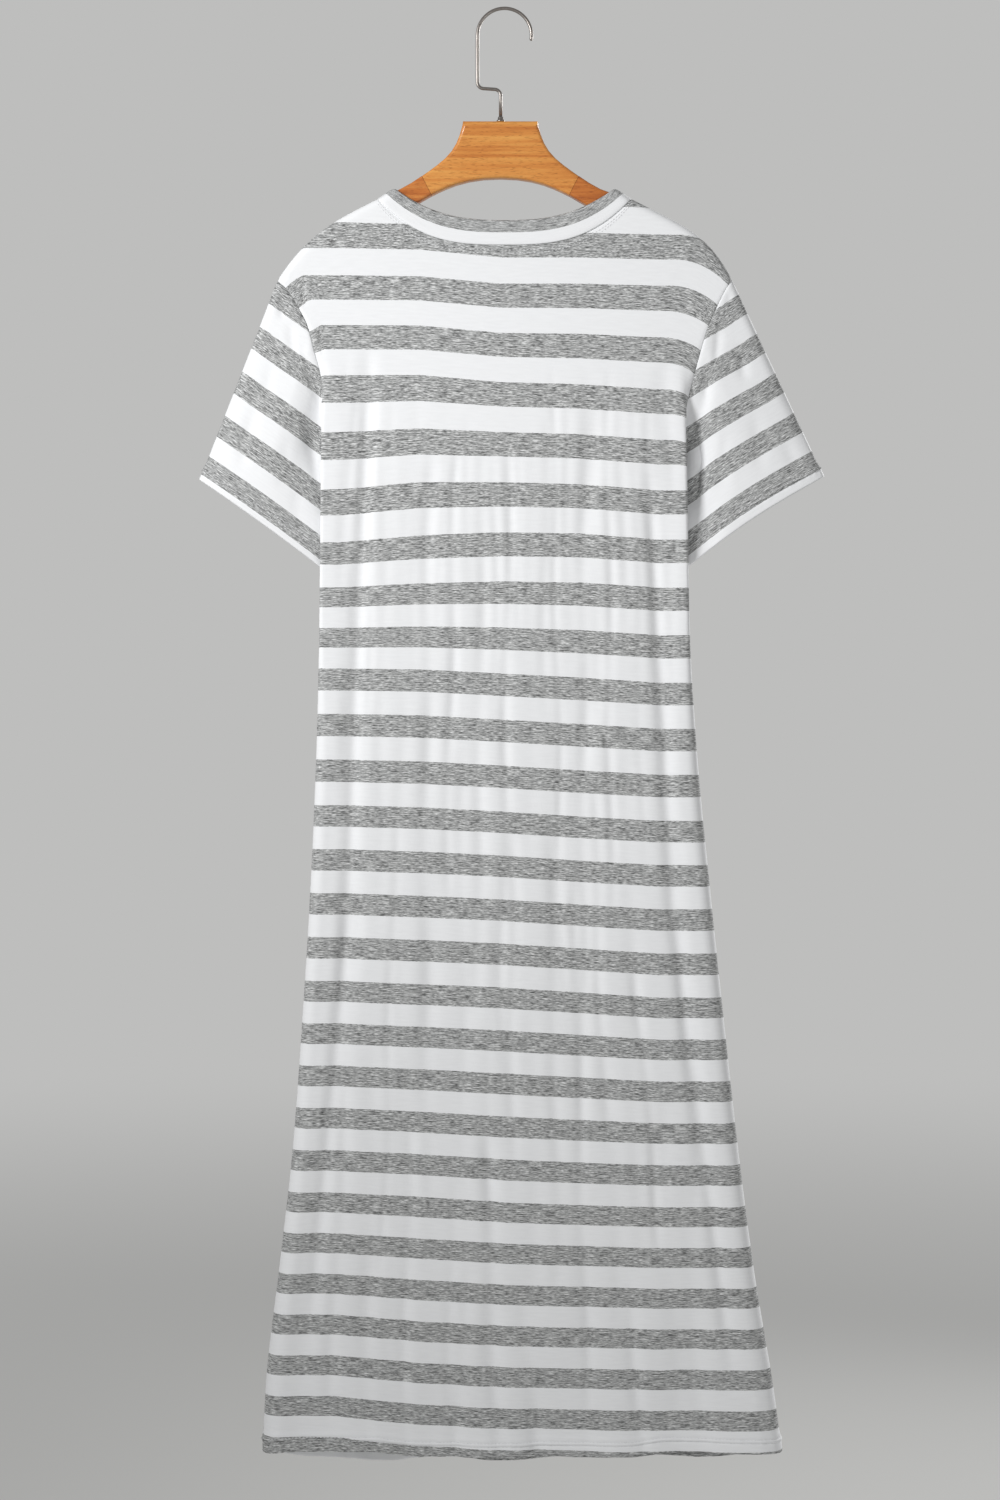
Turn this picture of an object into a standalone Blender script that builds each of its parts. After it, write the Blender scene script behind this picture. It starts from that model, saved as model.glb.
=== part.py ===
# T-shirt dress of striped jersey on a wooden hanger.
# The origin is the inner top of the hanger's hook, +Z is up, and the dress shows its back to -Y.
# Sizes below are in millimetres; MM turns them into metres when a mesh is made.

import math

import bmesh
import bpy
import numpy as np
from mathutils import Vector

MM = 0.001

# ---- cloth ----
CLOTH_WALL = 1.2
BAND_WALL = 1.8
SHARP_ANGLE = math.radians(50.0)
SEAM_GAP = 0.3
HEM_HEIGHT = -1384.0
FRONT_HEM_DROP = 12.0
UNDERARM_HEIGHT = -447.0
SHOULDER_TIP_HEIGHT = -262.0
FLAT_ROW_HEIGHT = -350.0

# ---- neck ----
NECK_HALF_WIDTH = 122.0
NECK_POINT_HEIGHT = -182.7
NECK = {
    "back": {"drop": 45.0, "power": 3.0},
    "front": {"drop": 102.0, "power": 2.2},
}
BAND_EDGE_HALF_WIDTH = 107.0
BAND_EDGE_HEIGHT = -173.0
BAND_EDGE = {
    "back": {"drop": 31.5, "power": 2.6},
    "front": {"drop": 88.5, "power": 2.2},
}
BAND_LEAN = 0.04
BAND_ROWS = (0.45, 1.0)

# ---- shoulder ridge: straight slope from the neck point, then a drop towards the tip ----
SHOULDER_SLOPE = 0.5
SHOULDER_TIP_X = 218.0
RIDGE_DEPTH = 10.0
RIDGE_POWER = 2.6
SHOULDER = {
    -1: {"drop": 30.0, "power": 3.5},
    1: {"drop": 28.0, "power": 5.0},
}

# ---- body sections: outline on each side and half depth, from the hem to the shoulder tip ----
BODY_COLUMNS = ("height", "left", "right", "depth")
BODY_SECTIONS = (
    (-1400, -232, 268, 26.0),
    (-1325, -229, 258, 25.0),
    (-1210, -216, 239, 23.5),
    (-1095, -203, 224, 22.0),
    (-960, -193, 209, 21.0),
    (-845, -186, 197, 20.0),
    (-710, -180, 184, 19.0),
    (-595, -177, 177, 19.0),
    (-450, -175.5, 174.5, 18.0),
    (-400, -175, 173.5, 16.0),
    (-378, -175, 176, 15.0),
    (-357, -176, 181, 14.3),
    (-327, -183, 189, 13.0),
    (-305, -189, 196, 12.0),
    (-289, -197, 203, 11.0),
    (-269, -210, 213, 10.2),
    (-262, -218, 218, 10.0),
)

# ---- side fold: how far the panel turns back at its edge (degrees) and how tightly; ----
# ---- seam_depth is the seam's place as a share of the panel's half depth, 0 where panels meet ----
FOLD_COLUMNS = ("height", "turn_left", "turn_right", "radius", "seam_depth")
SIDE_FOLDS = (
    (-1400, 90, 90, 19.0, 0.0),
    (-900, 90, 90, 13.0, 0.0),
    (-820, 91, 91, 12.5, 0.0),
    (-750, 97, 97, 11.5, 0.0),
    (-690, 110, 110, 9.0, 0.0),
    (-640, 130, 130, 6.0, 0.0),
    (-600, 148, 148, 4.0, 0.0),
    (-560, 162, 162, 2.8, 0.0),
    (-447, 168, 168, 2.6, 0.0),
    (-432, 160, 156, 2.6, 0.22),
    (-416, 148, 140, 2.6, 0.35),
    (-400, 128, 114, 2.6, 0.44),
    (-384, 102, 80, 2.6, 0.5),
    (-368, 72, 45, 2.6, 0.6),
    (-350, 38, 14, 2.6, 0.78),
    (-320, 0, 0, 2.6, 1.0),
)
FOLD_ARC_LENGTH = 7.0
FOLD_ARC_STEPS = 4
FLAP_STEPS = 3
SEAM_ARC_LENGTH = 5.0
SEAM_ARC_STEPS = 2
SIDE_POINTS = FOLD_ARC_STEPS + FLAP_STEPS + SEAM_ARC_STEPS
SHALLOWEST_RISE = 0.2
CAP_START = 166.0
SHORTEST_FLAP = 2.0
FLAP_POWER = 1.6
FLAP_START_HEIGHT = -385.0

# ---- long soft troughs in the panels: place at three heights, depth and half width ----
TROUGH_COLUMNS = ("panel", "top", "x_top", "middle", "x_middle", "bottom", "x_bottom", "depth", "width")
TROUGHS = (
    ("back", -330, -136, -880, -156, -1290, -193, 3.5, 10),
    ("back", -440, 133, -863, 156, -1330, 215, 3.5, 10),
    ("back", -600, -40, -1000, -52, -1380, -66, 1.5, 24),
    ("back", -420, 60, -900, 62, -1380, 90, 1.5, 22),
    ("front", -360, -128, -900, -150, -1340, -185, 3.0, 11),
    ("front", -420, 138, -900, 160, -1360, 205, 3.0, 11),
    ("front", -500, 10, -1000, 16, -1380, 30, 1.5, 26),
)
TROUGH_FADE = 70.0
SEAM_FADE = 60.0
HEM_WAVE_HEIGHT = 150.0
HEM_WAVES = {
    "back": {"depth": 3.0, "length": 118.0, "shift": 20.0},
    "front": {"depth": 3.5, "length": 104.0, "shift": -35.0},
}

# ---- sleeves: cuff corners (x away from the middle, height), half depth and root handles ----
SLEEVES = {
    "sleeve_left": {"side": -1, "outer": (293.0, -452.0), "inner": (160.0, -549.0)},
    "sleeve_right": {"side": 1, "outer": (307.0, -449.0), "inner": (160.0, -549.0)},
}
CUFF_HALF_DEPTH = 12.0
CUFF_POWER = 2.4
SLEEVE_STEPS = (0.0, 0.03, 0.08, 0.16, 0.28, 0.43, 0.58, 0.72, 0.86, 1.0)
ROOT_HANDLE = 5.0
UNDERARM_HANDLE = 12.0
ROOT_REACH = 0.44
ROOT_TURN_RISE = 30.0
ROOT_CLEARANCE = 1.8
CAP_HANDLE = 40.0
CUFF_HANDLE = 50.0

# ---- rows of the panels ----
LOWER_ROWS = (-1384, -1300, -1220, -1140, -1060, -980, -900, -820, -750, -690, -640, -600, -560,
              -520, -480, -447, -432, -416, -400, -384, -368, -350)
BETWEEN_ROWS = (1.0 / 3.0, 2.0 / 3.0)
RIDGE_ROWS = (14.0, 6.0, 2.0, 0.5, 0.0)
NECK_ROWS = (16.0, 12.0, 8.0, 4.0, 0.0)
NECK_ROW_POWER = 6
NECK_PLACES = (0.0, 0.27, 0.52, 0.72, 0.87, 0.955, 0.985, 0.996, 1.0)
SHOULDER_COLUMNS = 5

# ---- hanger ----
HANGER_CENTRE_X = -4.0
HANGER_THICKNESS = 14.0
HANGER_ROUNDING = 4.5
ROUNDING_SEGMENTS = 3
HANGER_TOP_HEIGHT = -108.0
HANGER_TOP_HALF_WIDTH = 35.0
HANGER_FLANK = ((45.0, -125.0), (56.0, -142.5), (66.0, -153.0))
HANGER_ARCH = ((52.0, -172.5), (36.0, -167.0), (18.0, -163.5), (0.0, -162.5))
JOINT_TOP = (76.0, -161.0)
JOINT_BOTTOM = (66.0, -179.0)
ARM_TOP = (96.0, -173.0)
ARM_BOTTOM = (94.0, -196.0)
ARM_START_X = 120.0
ARM_END_X = 184.0
ARM_TIP_SLOPE = 4.0
ARM_SEAT = 1.4
ARM_HEIGHT_AT_NECK = 25.0
ARM_HEIGHT_AT_END = 17.0
ARM_STEPS = 8

# ---- hook ----
WIRE_DIAMETER = 3.3
HOOK_RADIUS = 26.0
HOOK_STEM_X = -3.7
HOOK_TIP_ANGLE = -8.0
HOOK_STEPS = 20
HOOK_BACK_TOP = -45.0
CRANK_RADIUS = 7.0
CRANK_TOP = -66.0
CRANK_BOTTOM = -84.5
CRANK_TURN = 75.0
CRANK_STEPS = 4
COLLAR_DIAMETER = 8.0
COLLAR_HEIGHT = 5.0
COLLAR_SIDES = 20

COLOURS = {
    "jersey": (0.62, 0.62, 0.62, 1.0),
    "wood": (0.62, 0.33, 0.12, 1.0),
    "arm_wood": (0.55, 0.25, 0.07, 1.0),
    "steel": (0.55, 0.55, 0.56, 1.0),
}


def clear_scene():
    for item in list(bpy.data.objects):
        bpy.data.objects.remove(item, do_unlink=True)


def make_material(name, colour, roughness, metallic):
    material = bpy.data.materials.new(name)
    material.use_nodes = True
    shader = material.node_tree.nodes["Principled BSDF"]
    shader.inputs["Base Color"].default_value = colour
    shader.inputs["Roughness"].default_value = roughness
    shader.inputs["Metallic"].default_value = metallic
    return material


def table_value(table, columns, name, height):
    """Value of a named column at a height, on a smooth curve through the table's rows."""
    rows = sorted(table, key=lambda row: row[0])
    heights = [row[0] for row in rows]
    values = [row[columns.index(name)] for row in rows]
    if height <= heights[0]:
        return float(values[0])
    if height >= heights[-1]:
        return float(values[-1])
    index = max(i for i in range(len(heights) - 1) if heights[i] <= height)
    span = heights[index + 1] - heights[index]
    part = (height - heights[index]) / span
    slope = (values[index + 1] - values[index]) / span

    def tangent(i):
        if i == 0 or i == len(heights) - 1:
            return slope
        before = (values[i] - values[i - 1]) / (heights[i] - heights[i - 1])
        after = (values[i + 1] - values[i]) / (heights[i + 1] - heights[i])
        if before * after <= 0.0:
            return 0.0
        return 2.0 * before * after / (before + after)

    start = tangent(index) * span
    end = tangent(index + 1) * span
    smooth = part * part * (3.0 - 2.0 * part)
    bend_start = part * (1.0 - part) ** 2
    bend_end = -part * part * (1.0 - part)
    return values[index] + smooth * (values[index + 1] - values[index]) + start * bend_start + end * bend_end


def ridge_height(x):
    """Height of the shoulder ridge at x; inside the neck points it is the line along the hanger's arm."""
    side = -1 if x < 0.0 else 1
    out = abs(x) - NECK_HALF_WIDTH
    part = max(out, 0.0) / (SHOULDER_TIP_X - NECK_HALF_WIDTH)
    drop = SHOULDER[side]["drop"] * part ** SHOULDER[side]["power"]
    return NECK_POINT_HEIGHT - SHOULDER_SLOPE * out - drop


def below_ridge(x, height):
    """Distance of a point below the shoulder ridge, square to the ridge's slope."""
    rise = ridge_height(x + 0.5) - ridge_height(x - 0.5)
    return (ridge_height(x) - height) / math.hypot(1.0, rise)


def ridge_round(below):
    """Share of the full depth that cloth over the ridge has reached at a distance below it."""
    part = min(max(below, 0.0) / RIDGE_DEPTH, 1.0)
    return (1.0 - (1.0 - part) ** RIDGE_POWER) ** (1.0 / RIDGE_POWER)


def neck_curve(x, half_width, top, shape):
    """Height of a neckline at x: level in the middle, steep at the neck points."""
    part = min(abs(x) / half_width, 1.0)
    return top - shape["drop"] * (1.0 - part ** shape["power"])


def side_path(height, side):
    """Points (x, y) from the seam round the side fold to the flat of a panel, back panel's sign."""
    height = min(height, SHOULDER_TIP_HEIGHT)
    edge = abs(table_value(BODY_SECTIONS, BODY_COLUMNS, "left" if side < 0 else "right", height))
    depth = table_value(BODY_SECTIONS, BODY_COLUMNS, "depth", height)
    turn_name = "turn_left" if side < 0 else "turn_right"
    turn = math.radians(table_value(SIDE_FOLDS, FOLD_COLUMNS, turn_name, height))
    radius = table_value(SIDE_FOLDS, FOLD_COLUMNS, "radius", height)
    arc_length = max(radius * turn, FOLD_ARC_LENGTH)
    end_turn = min(turn, math.radians(90.0))
    seam_arc = SEAM_ARC_LENGTH * (1.0 + (turn - end_turn) / math.radians(90.0))

    def walk(flap):
        # path from the flat (first point) to the seam (last point); x grows outwards
        pieces = [
            (arc_length, 0.0, turn, FOLD_ARC_STEPS),
            (flap, turn, turn, FLAP_STEPS),
            (seam_arc, turn, end_turn, SEAM_ARC_STEPS),
        ]
        x, y = 0.0, 0.0
        points = [(x, y)]
        for length, first, last, steps in pieces:
            for step in range(steps):
                angle = first + (last - first) * (step + 0.5) / steps
                x += math.cos(angle) * length / steps
                y += math.sin(angle) * length / steps
                points.append((x, y))
        return points

    if height <= UNDERARM_HEIGHT:
        rise = walk(0.0)[-1][1]
        flap = max((depth - rise) / max(math.sin(turn), SHALLOWEST_RISE), SHORTEST_FLAP)
    elif turn < 0.01 or height > FLAP_START_HEIGHT:
        flap = max(SHORTEST_FLAP, edge - CAP_START - FOLD_ARC_LENGTH - SEAM_ARC_LENGTH)
    else:
        low = side_path(UNDERARM_HEIGHT, side)
        full = math.dist(low[SEAM_ARC_STEPS], low[SEAM_ARC_STEPS + FLAP_STEPS])
        part = (FLAP_START_HEIGHT - height) / (FLAP_START_HEIGHT - UNDERARM_HEIGHT)
        flap = SHORTEST_FLAP + (full - SHORTEST_FLAP) * part ** FLAP_POWER
    points = walk(flap)
    seam_depth = table_value(SIDE_FOLDS, FOLD_COLUMNS, "seam_depth", height)
    if points[-1][1] > 0.01:
        stretch = depth * (1.0 - seam_depth) / points[-1][1]
        points = [(x, y * stretch) for x, y in points]
    start = edge - max(x for x, y in points)
    return [(side * (start + x), y - depth) for x, y in reversed(points)]


def end_turn_at(height, side):
    """Turn of the panel where it meets the armhole seam."""
    turn = table_value(SIDE_FOLDS, FOLD_COLUMNS, "turn_left" if side < 0 else "turn_right", height)
    return math.radians(min(turn, 90.0))


def panel_columns():
    """Columns from the left seam to the right seam: side path points, then places across the flat."""
    neck = NECK_HALF_WIDTH / CAP_START
    columns = [("left", index) for index in range(SIDE_POINTS)]
    columns += [("flat", -(1.0 + (neck - 1.0) * i / SHOULDER_COLUMNS)) for i in range(SHOULDER_COLUMNS)]
    columns += [("flat", -neck * place) for place in reversed(NECK_PLACES[1:])]
    columns += [("flat", neck * place) for place in NECK_PLACES]
    columns += [("flat", neck + (1.0 - neck) * i / SHOULDER_COLUMNS) for i in range(1, SHOULDER_COLUMNS + 1)]
    columns += [("right", index) for index in reversed(range(SIDE_POINTS))]
    return columns


def column_place(column, height):
    """Place (x, y) of a panel column at a height, before ridge, neck and troughs; back panel's sign."""
    kind, value = column
    if kind == "left":
        return side_path(height, -1)[value]
    if kind == "right":
        return side_path(height, 1)[value]
    left = side_path(height, -1)[SIDE_POINTS]
    right = side_path(height, 1)[SIDE_POINTS]
    part = 0.5 * (value + 1.0)
    x = left[0] + (right[0] - left[0]) * part
    return x, left[1]


def trough(panel, x, height):
    """How far the cloth lies inwards at x and height, from the long troughs and the hem's waves."""
    depth = 0.0
    for row in TROUGHS:
        fold = dict(zip(TROUGH_COLUMNS, row))
        if fold["panel"] != panel or height > fold["top"]:
            continue
        heights = (fold["bottom"], fold["middle"], fold["top"])
        centre = np.interp(height, heights, (fold["x_bottom"], fold["x_middle"], fold["x_top"]))
        fade = min((fold["top"] - height) / TROUGH_FADE, 1.0)
        if height < fold["bottom"] + TROUGH_FADE:
            fade = min(fade, max((height - fold["bottom"]) / TROUGH_FADE, 0.0))
        depth += fold["depth"] * fade * math.exp(-((x - centre) / fold["width"]) ** 2)
    wave = HEM_WAVES[panel]
    near_hem = max(1.0 - (height - HEM_HEIGHT) / HEM_WAVE_HEIGHT, 0.0)
    swing = math.sin(2.0 * math.pi * (x - wave["shift"]) / wave["length"])
    return depth + wave["depth"] * near_hem ** 2 * swing


def panel_points(panel):
    """Middle surface of the back or front panel, rows from the hem up to the shoulder and neck seam."""
    columns = panel_columns()
    facing = 1.0 if panel == "back" else -1.0
    tops = []
    for column in columns:
        x = column_place(column, SHOULDER_TIP_HEIGHT)[0]
        inward = 1.0 - abs(x) / NECK_HALF_WIDTH
        if inward > 0.0005:
            top = neck_curve(x, NECK_HALF_WIDTH, NECK_POINT_HEIGHT, NECK[panel])
            tops.append((top, (1.0 - inward) ** NECK_ROW_POWER))
        else:
            tops.append((ridge_height(x), 1.0))

    def place(column, height, top):
        x, y = column_place(column, height)
        if height > FLAT_ROW_HEIGHT:
            y *= ridge_round(below_ridge(x, height))
        if column[0] == "flat":
            y += trough(panel, x, height) * min((top - height) / SEAM_FADE, 1.0)
        return x, facing * y, height

    rows = []
    for height in LOWER_ROWS:
        row = []
        for column, (top, share) in zip(columns, tops):
            level = height
            if height == LOWER_ROWS[0] and panel == "front" and column[0] == "flat":
                level = height - FRONT_HEM_DROP * (1.0 - column[1] ** 2)
            row.append(place(column, level, top))
        rows.append(row)
    for part in BETWEEN_ROWS:
        row = []
        for column, (top, share) in zip(columns, tops):
            below = RIDGE_ROWS[0] * share + NECK_ROWS[0] * (1.0 - share)
            level = FLAT_ROW_HEIGHT + (top - below - FLAT_ROW_HEIGHT) * part
            row.append(place(column, level, top))
        rows.append(row)
    for ridge_row, neck_row in zip(RIDGE_ROWS, NECK_ROWS):
        row = []
        for column, (top, share) in zip(columns, tops):
            below = ridge_row * share + neck_row * (1.0 - share)
            row.append(place(column, top - below, top))
        rows.append(row)
    return np.array(rows)


def armhole_loop(back, front, side):
    """Armhole seam as a closed loop: down the back from the shoulder tip, up the front again."""
    first = LOWER_ROWS.index(int(UNDERARM_HEIGHT))
    column = 0 if side < 0 else -1
    down = back[first:, column][::-1]
    up = front[first:, column]
    return np.concatenate([down, up[1:-1]])


def sleeve_points(back, front, shape):
    """Middle surface of a sleeve: rows run from the armhole seam to the cuff, columns round the tube."""
    side = shape["side"]
    loop = armhole_loop(back, front, side)
    count = len(loop)
    half = count // 2
    steps = np.linalg.norm(np.diff(loop[:half + 1], axis=0), axis=1)
    parts = np.minimum(np.concatenate([[0.0], np.cumsum(steps)]) / steps.sum(), 1.0)
    outer = np.array([side * shape["outer"][0], 0.0, shape["outer"][1]])
    inner = np.array([side * shape["inner"][0], 0.0, shape["inner"][1]])
    tip = loop[0]
    underarm = loop[half]
    rows = [[] for step in SLEEVE_STEPS]
    for index in range(count):
        mirrored = index if index <= half else count - index
        part = parts[mirrored]
        facing = -1.0 if index <= half else 1.0
        start = loop[index]
        swell = CUFF_HALF_DEPTH * (1.0 - abs(2.0 * part - 1.0) ** CUFF_POWER) ** 0.5
        end = outer + (inner - outer) * part + np.array([0.0, facing * swell, 0.0])
        fall = (outer - tip) * (1.0 - part) + (inner - underarm) * part
        fall = fall / np.linalg.norm(fall)
        turn = end_turn_at(start[2], side)
        to_underarm = min((start[2] - UNDERARM_HEIGHT) / ROOT_TURN_RISE, 1.0)
        turn = turn * to_underarm
        folded = turn / math.radians(90.0)
        share = min(folded + (1.0 - to_underarm), 1.0)
        room = max((abs(start[1]) - ROOT_CLEARANCE) / ROOT_REACH, ROOT_HANDLE)
        root = np.array([side * math.cos(turn) * UNDERARM_HANDLE, -facing * math.sin(turn) * room, 0.0])
        handle = root * share + fall * CAP_HANDLE * (1.0 - share)
        for row, t in zip(rows, SLEEVE_STEPS):
            a = (1.0 - t) ** 3
            b = 3.0 * t * (1.0 - t) ** 2
            c = 3.0 * t * t * (1.0 - t)
            d = t ** 3
            row.append(a * start + b * (start + handle) + c * (end - fall * CUFF_HANDLE) + d * end)
    return np.array(rows)


def band_points(back, front):
    """Middle surface of the neckband: seam row first, free edge last, columns round the neck."""
    columns = panel_columns()
    inside = [i for i, column in enumerate(columns)
              if column[0] == "flat" and abs(column[1]) <= NECK_HALF_WIDTH / CAP_START + 0.0001]
    seam = [back[-1, i] for i in inside] + [front[-1, i] for i in reversed(inside[1:-1])]
    rows = [[], [], []]
    for index, point in enumerate(seam):
        at_back = index < len(inside)
        shape = BAND_EDGE["back" if at_back else "front"]
        x = point[0] * BAND_EDGE_HALF_WIDTH / NECK_HALF_WIDTH
        z = neck_curve(x, BAND_EDGE_HALF_WIDTH, BAND_EDGE_HEIGHT, shape)
        rows[0].append(point)
        for row, part in zip(rows[1:], BAND_ROWS):
            across = point[0] + (x - point[0]) * part
            level = point[2] + (z - point[2]) * part
            row.append(np.array([across, point[1] * (1.0 - part * BAND_LEAN), level]))
    return np.array(rows)


def grid_faces(rows, columns, closed):
    """Index quads of a grid; a closed grid joins its last column to its first."""
    faces = []
    for r in range(rows - 1):
        for c in range(columns if closed else columns - 1):
            after = (c + 1) % columns
            faces.append((r * columns + c, r * columns + after, (r + 1) * columns + after, (r + 1) * columns + c))
    return faces


def point_key(point):
    return tuple(int(round(value * 1000.0)) for value in point)


def add_normals(store, points, closed, flip):
    """Adds each face's normal to the points it touches, so pieces share their normals at seams."""
    rows, columns = points.shape[:2]
    flat = points.reshape(-1, 3)
    for face in grid_faces(rows, columns, closed):
        corners = flat[list(face)]
        normal = np.cross(corners[2] - corners[0], corners[3] - corners[1])
        if flip:
            normal = -normal
        length = np.linalg.norm(normal)
        if length < 1e-9:
            continue
        for corner in corners:
            key = point_key(corner)
            store[key] = store.get(key, np.zeros(3)) + normal / math.sqrt(length)


def cloth_object(name, points, closed, store, pulls, outward, inward, material, group):
    """Closed wall of cloth: the middle surface moved out and in along the shared normals.

    pulls names the edges that stop half a seam gap short: "start", "end" (rows), "left", "right".
    """
    rows, columns = points.shape[:2]
    normals = np.zeros(points.shape)
    for r in range(rows):
        for c in range(columns):
            normal = store[point_key(points[r, c])]
            normals[r, c] = normal / np.linalg.norm(normal)
    moved = points.copy()

    def pull(edge, beside):
        step = beside - edge
        return step / np.linalg.norm(step, axis=-1, keepdims=True) * (0.5 * SEAM_GAP)

    if "start" in pulls:
        moved[0] += pull(points[0], points[1])
    if "end" in pulls:
        moved[-1] += pull(points[-1], points[-2])
    if "left" in pulls:
        moved[:, 0] += pull(points[:, 0], points[:, 1])
    if "right" in pulls:
        moved[:, -1] += pull(points[:, -1], points[:, -2])
    outer = (moved + normals * outward).reshape(-1, 3)
    inner = (moved - normals * inward).reshape(-1, 3)
    count = rows * columns
    mesh = bmesh.new()
    corners = [mesh.verts.new(Vector(p) * MM) for p in np.concatenate([outer, inner])]
    for face in grid_faces(rows, columns, closed):
        a, b, c, d = face
        for triangle in ((a, b, c), (a, c, d)):
            mesh.faces.new([corners[i] for i in triangle])
            mesh.faces.new([corners[i + count] for i in reversed(triangle)])
    rim = [(c, (c + 1) % columns) for c in range(columns if closed else columns - 1)]
    edges = [(b, a) for a, b in rim]
    edges += [(a + (rows - 1) * columns, b + (rows - 1) * columns) for a, b in rim]
    if not closed:
        edges += [(r * columns, (r + 1) * columns) for r in range(rows - 1)]
        edges += [((r + 1) * columns + columns - 1, r * columns + columns - 1) for r in range(rows - 1)]
    for a, b in edges:
        # pieces that share a seam split its rim along the same diagonal: lower outer to upper inner
        if outer[a][2] < outer[b][2]:
            triangles = ((b, a, b + count), (a, a + count, b + count))
        else:
            triangles = ((b, a, a + count), (b, a + count, b + count))
        for triangle in triangles:
            mesh.faces.new([corners[i] for i in triangle])
    bmesh.ops.recalc_face_normals(mesh, faces=mesh.faces)
    data = bpy.data.meshes.new(name)
    mesh.to_mesh(data)
    mesh.free()
    for polygon in data.polygons:
        polygon.use_smooth = True
    data.set_sharp_from_angle(angle=SHARP_ANGLE)
    data.materials.append(material)
    item = bpy.data.objects.new(name, data)
    group.objects.link(item)
    return item


def plate(name, outline, thickness, rounding, material, group):
    """Flat outline in the XZ plane, extruded along Y, edges rounded."""
    curve = bpy.data.curves.new(name, "CURVE")
    curve.dimensions = "2D"
    curve.fill_mode = "BOTH"
    curve.extrude = 0.5 * thickness * MM
    spline = curve.splines.new("POLY")
    spline.points.add(len(outline) - 1)
    for point, (x, z) in zip(spline.points, outline):
        point.co = (x * MM, z * MM, 0.0, 1.0)
    spline.use_cyclic_u = True
    guide = bpy.data.objects.new(name + "_outline", curve)
    guide.rotation_euler = (math.radians(90.0), 0.0, 0.0)
    group.objects.link(guide)
    bpy.context.view_layer.update()
    evaluated = guide.evaluated_get(bpy.context.evaluated_depsgraph_get())
    data = bpy.data.meshes.new_from_object(evaluated)
    data.transform(guide.matrix_world)
    bpy.data.objects.remove(guide, do_unlink=True)
    mesh = bmesh.new()
    mesh.from_mesh(data)
    bmesh.ops.remove_doubles(mesh, verts=mesh.verts, dist=1e-6)
    bmesh.ops.dissolve_limit(mesh, angle_limit=math.radians(0.5), verts=mesh.verts, edges=mesh.edges)
    mesh.to_mesh(data)
    mesh.free()
    data.name = name
    data.materials.append(material)
    item = bpy.data.objects.new(name, data)
    group.objects.link(item)
    bevel = item.modifiers.new("rounding", "BEVEL")
    bevel.width = rounding * MM
    bevel.segments = ROUNDING_SEGMENTS
    bevel.limit_method = "ANGLE"
    bevel.angle_limit = math.radians(60.0)
    return item


def arm_outline(side):
    """Outline of a hanger arm: top just under the shoulder, lower edge rising to the joint."""
    tops = [(HANGER_CENTRE_X + side * x, z) for x, z in (JOINT_TOP, ARM_TOP)]
    bottoms = [(HANGER_CENTRE_X + side * x, z) for x, z in (JOINT_BOTTOM, ARM_BOTTOM)]
    for i in range(ARM_STEPS + 1):
        part = i / ARM_STEPS
        x = side * (ARM_START_X + (ARM_END_X - ARM_START_X) * part)
        tops.append((x, ridge_height(x) - ARM_SEAT))
        x = side * (ARM_START_X + (ARM_END_X - ARM_TIP_SLOPE - ARM_START_X) * part)
        height = ARM_HEIGHT_AT_NECK + (ARM_HEIGHT_AT_END - ARM_HEIGHT_AT_NECK) * part
        bottoms.append((x, ridge_height(x) - ARM_SEAT - height))
    outline = tops + bottoms[::-1]
    return outline if side > 0 else outline[::-1]


def centre_outline():
    """Outline of the hanger's middle piece: flat top, hollow flanks, arched underside."""
    right = [(HANGER_TOP_HALF_WIDTH, HANGER_TOP_HEIGHT)] + list(HANGER_FLANK)
    right += [(JOINT_TOP[0] - SEAM_GAP, JOINT_TOP[1]), (JOINT_BOTTOM[0] - SEAM_GAP, JOINT_BOTTOM[1])]
    right += list(HANGER_ARCH)
    points = [(HANGER_CENTRE_X + x, z) for x, z in right]
    points += [(HANGER_CENTRE_X - x, z) for x, z in reversed(right[:-1])]
    return points


def arc_points(centre_x, centre_z, radius, first, last, steps):
    """Points of an arc in the XZ plane between two angles in degrees."""
    points = []
    for i in range(steps + 1):
        angle = math.radians(first + (last - first) * i / steps)
        points.append((centre_x + radius * math.cos(angle), centre_z + radius * math.sin(angle)))
    return points


def hook_points():
    """Centre line of the hook: tip, round bend over the rod, straight back, crank and stem."""
    bow_z = 0.5 * WIRE_DIAMETER - HOOK_RADIUS
    points = arc_points(0.0, bow_z, HOOK_RADIUS, HOOK_TIP_ANGLE, 180.0, HOOK_STEPS)
    points.append((-HOOK_RADIUS, HOOK_BACK_TOP))
    left = CRANK_RADIUS - HOOK_RADIUS
    points += arc_points(left, CRANK_TOP, CRANK_RADIUS, 180.0, 180.0 + CRANK_TURN, CRANK_STEPS)
    right = HOOK_STEM_X - CRANK_RADIUS
    points += arc_points(right, CRANK_BOTTOM, CRANK_RADIUS, CRANK_TURN, 0.0, CRANK_STEPS)
    points.append((HOOK_STEM_X, HANGER_TOP_HEIGHT + COLLAR_HEIGHT + 2.0 * SEAM_GAP))
    return points


def make_hook(material, group):
    curve = bpy.data.curves.new("hook", "CURVE")
    curve.dimensions = "3D"
    curve.bevel_depth = 0.5 * WIRE_DIAMETER * MM
    curve.bevel_resolution = 2
    curve.use_fill_caps = True
    points = hook_points()
    spline = curve.splines.new("POLY")
    spline.points.add(len(points) - 1)
    for point, (x, z) in zip(spline.points, points):
        point.co = (x * MM, 0.0, z * MM, 1.0)
    curve.materials.append(material)
    item = bpy.data.objects.new("hook", curve)
    group.objects.link(item)
    return item


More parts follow.
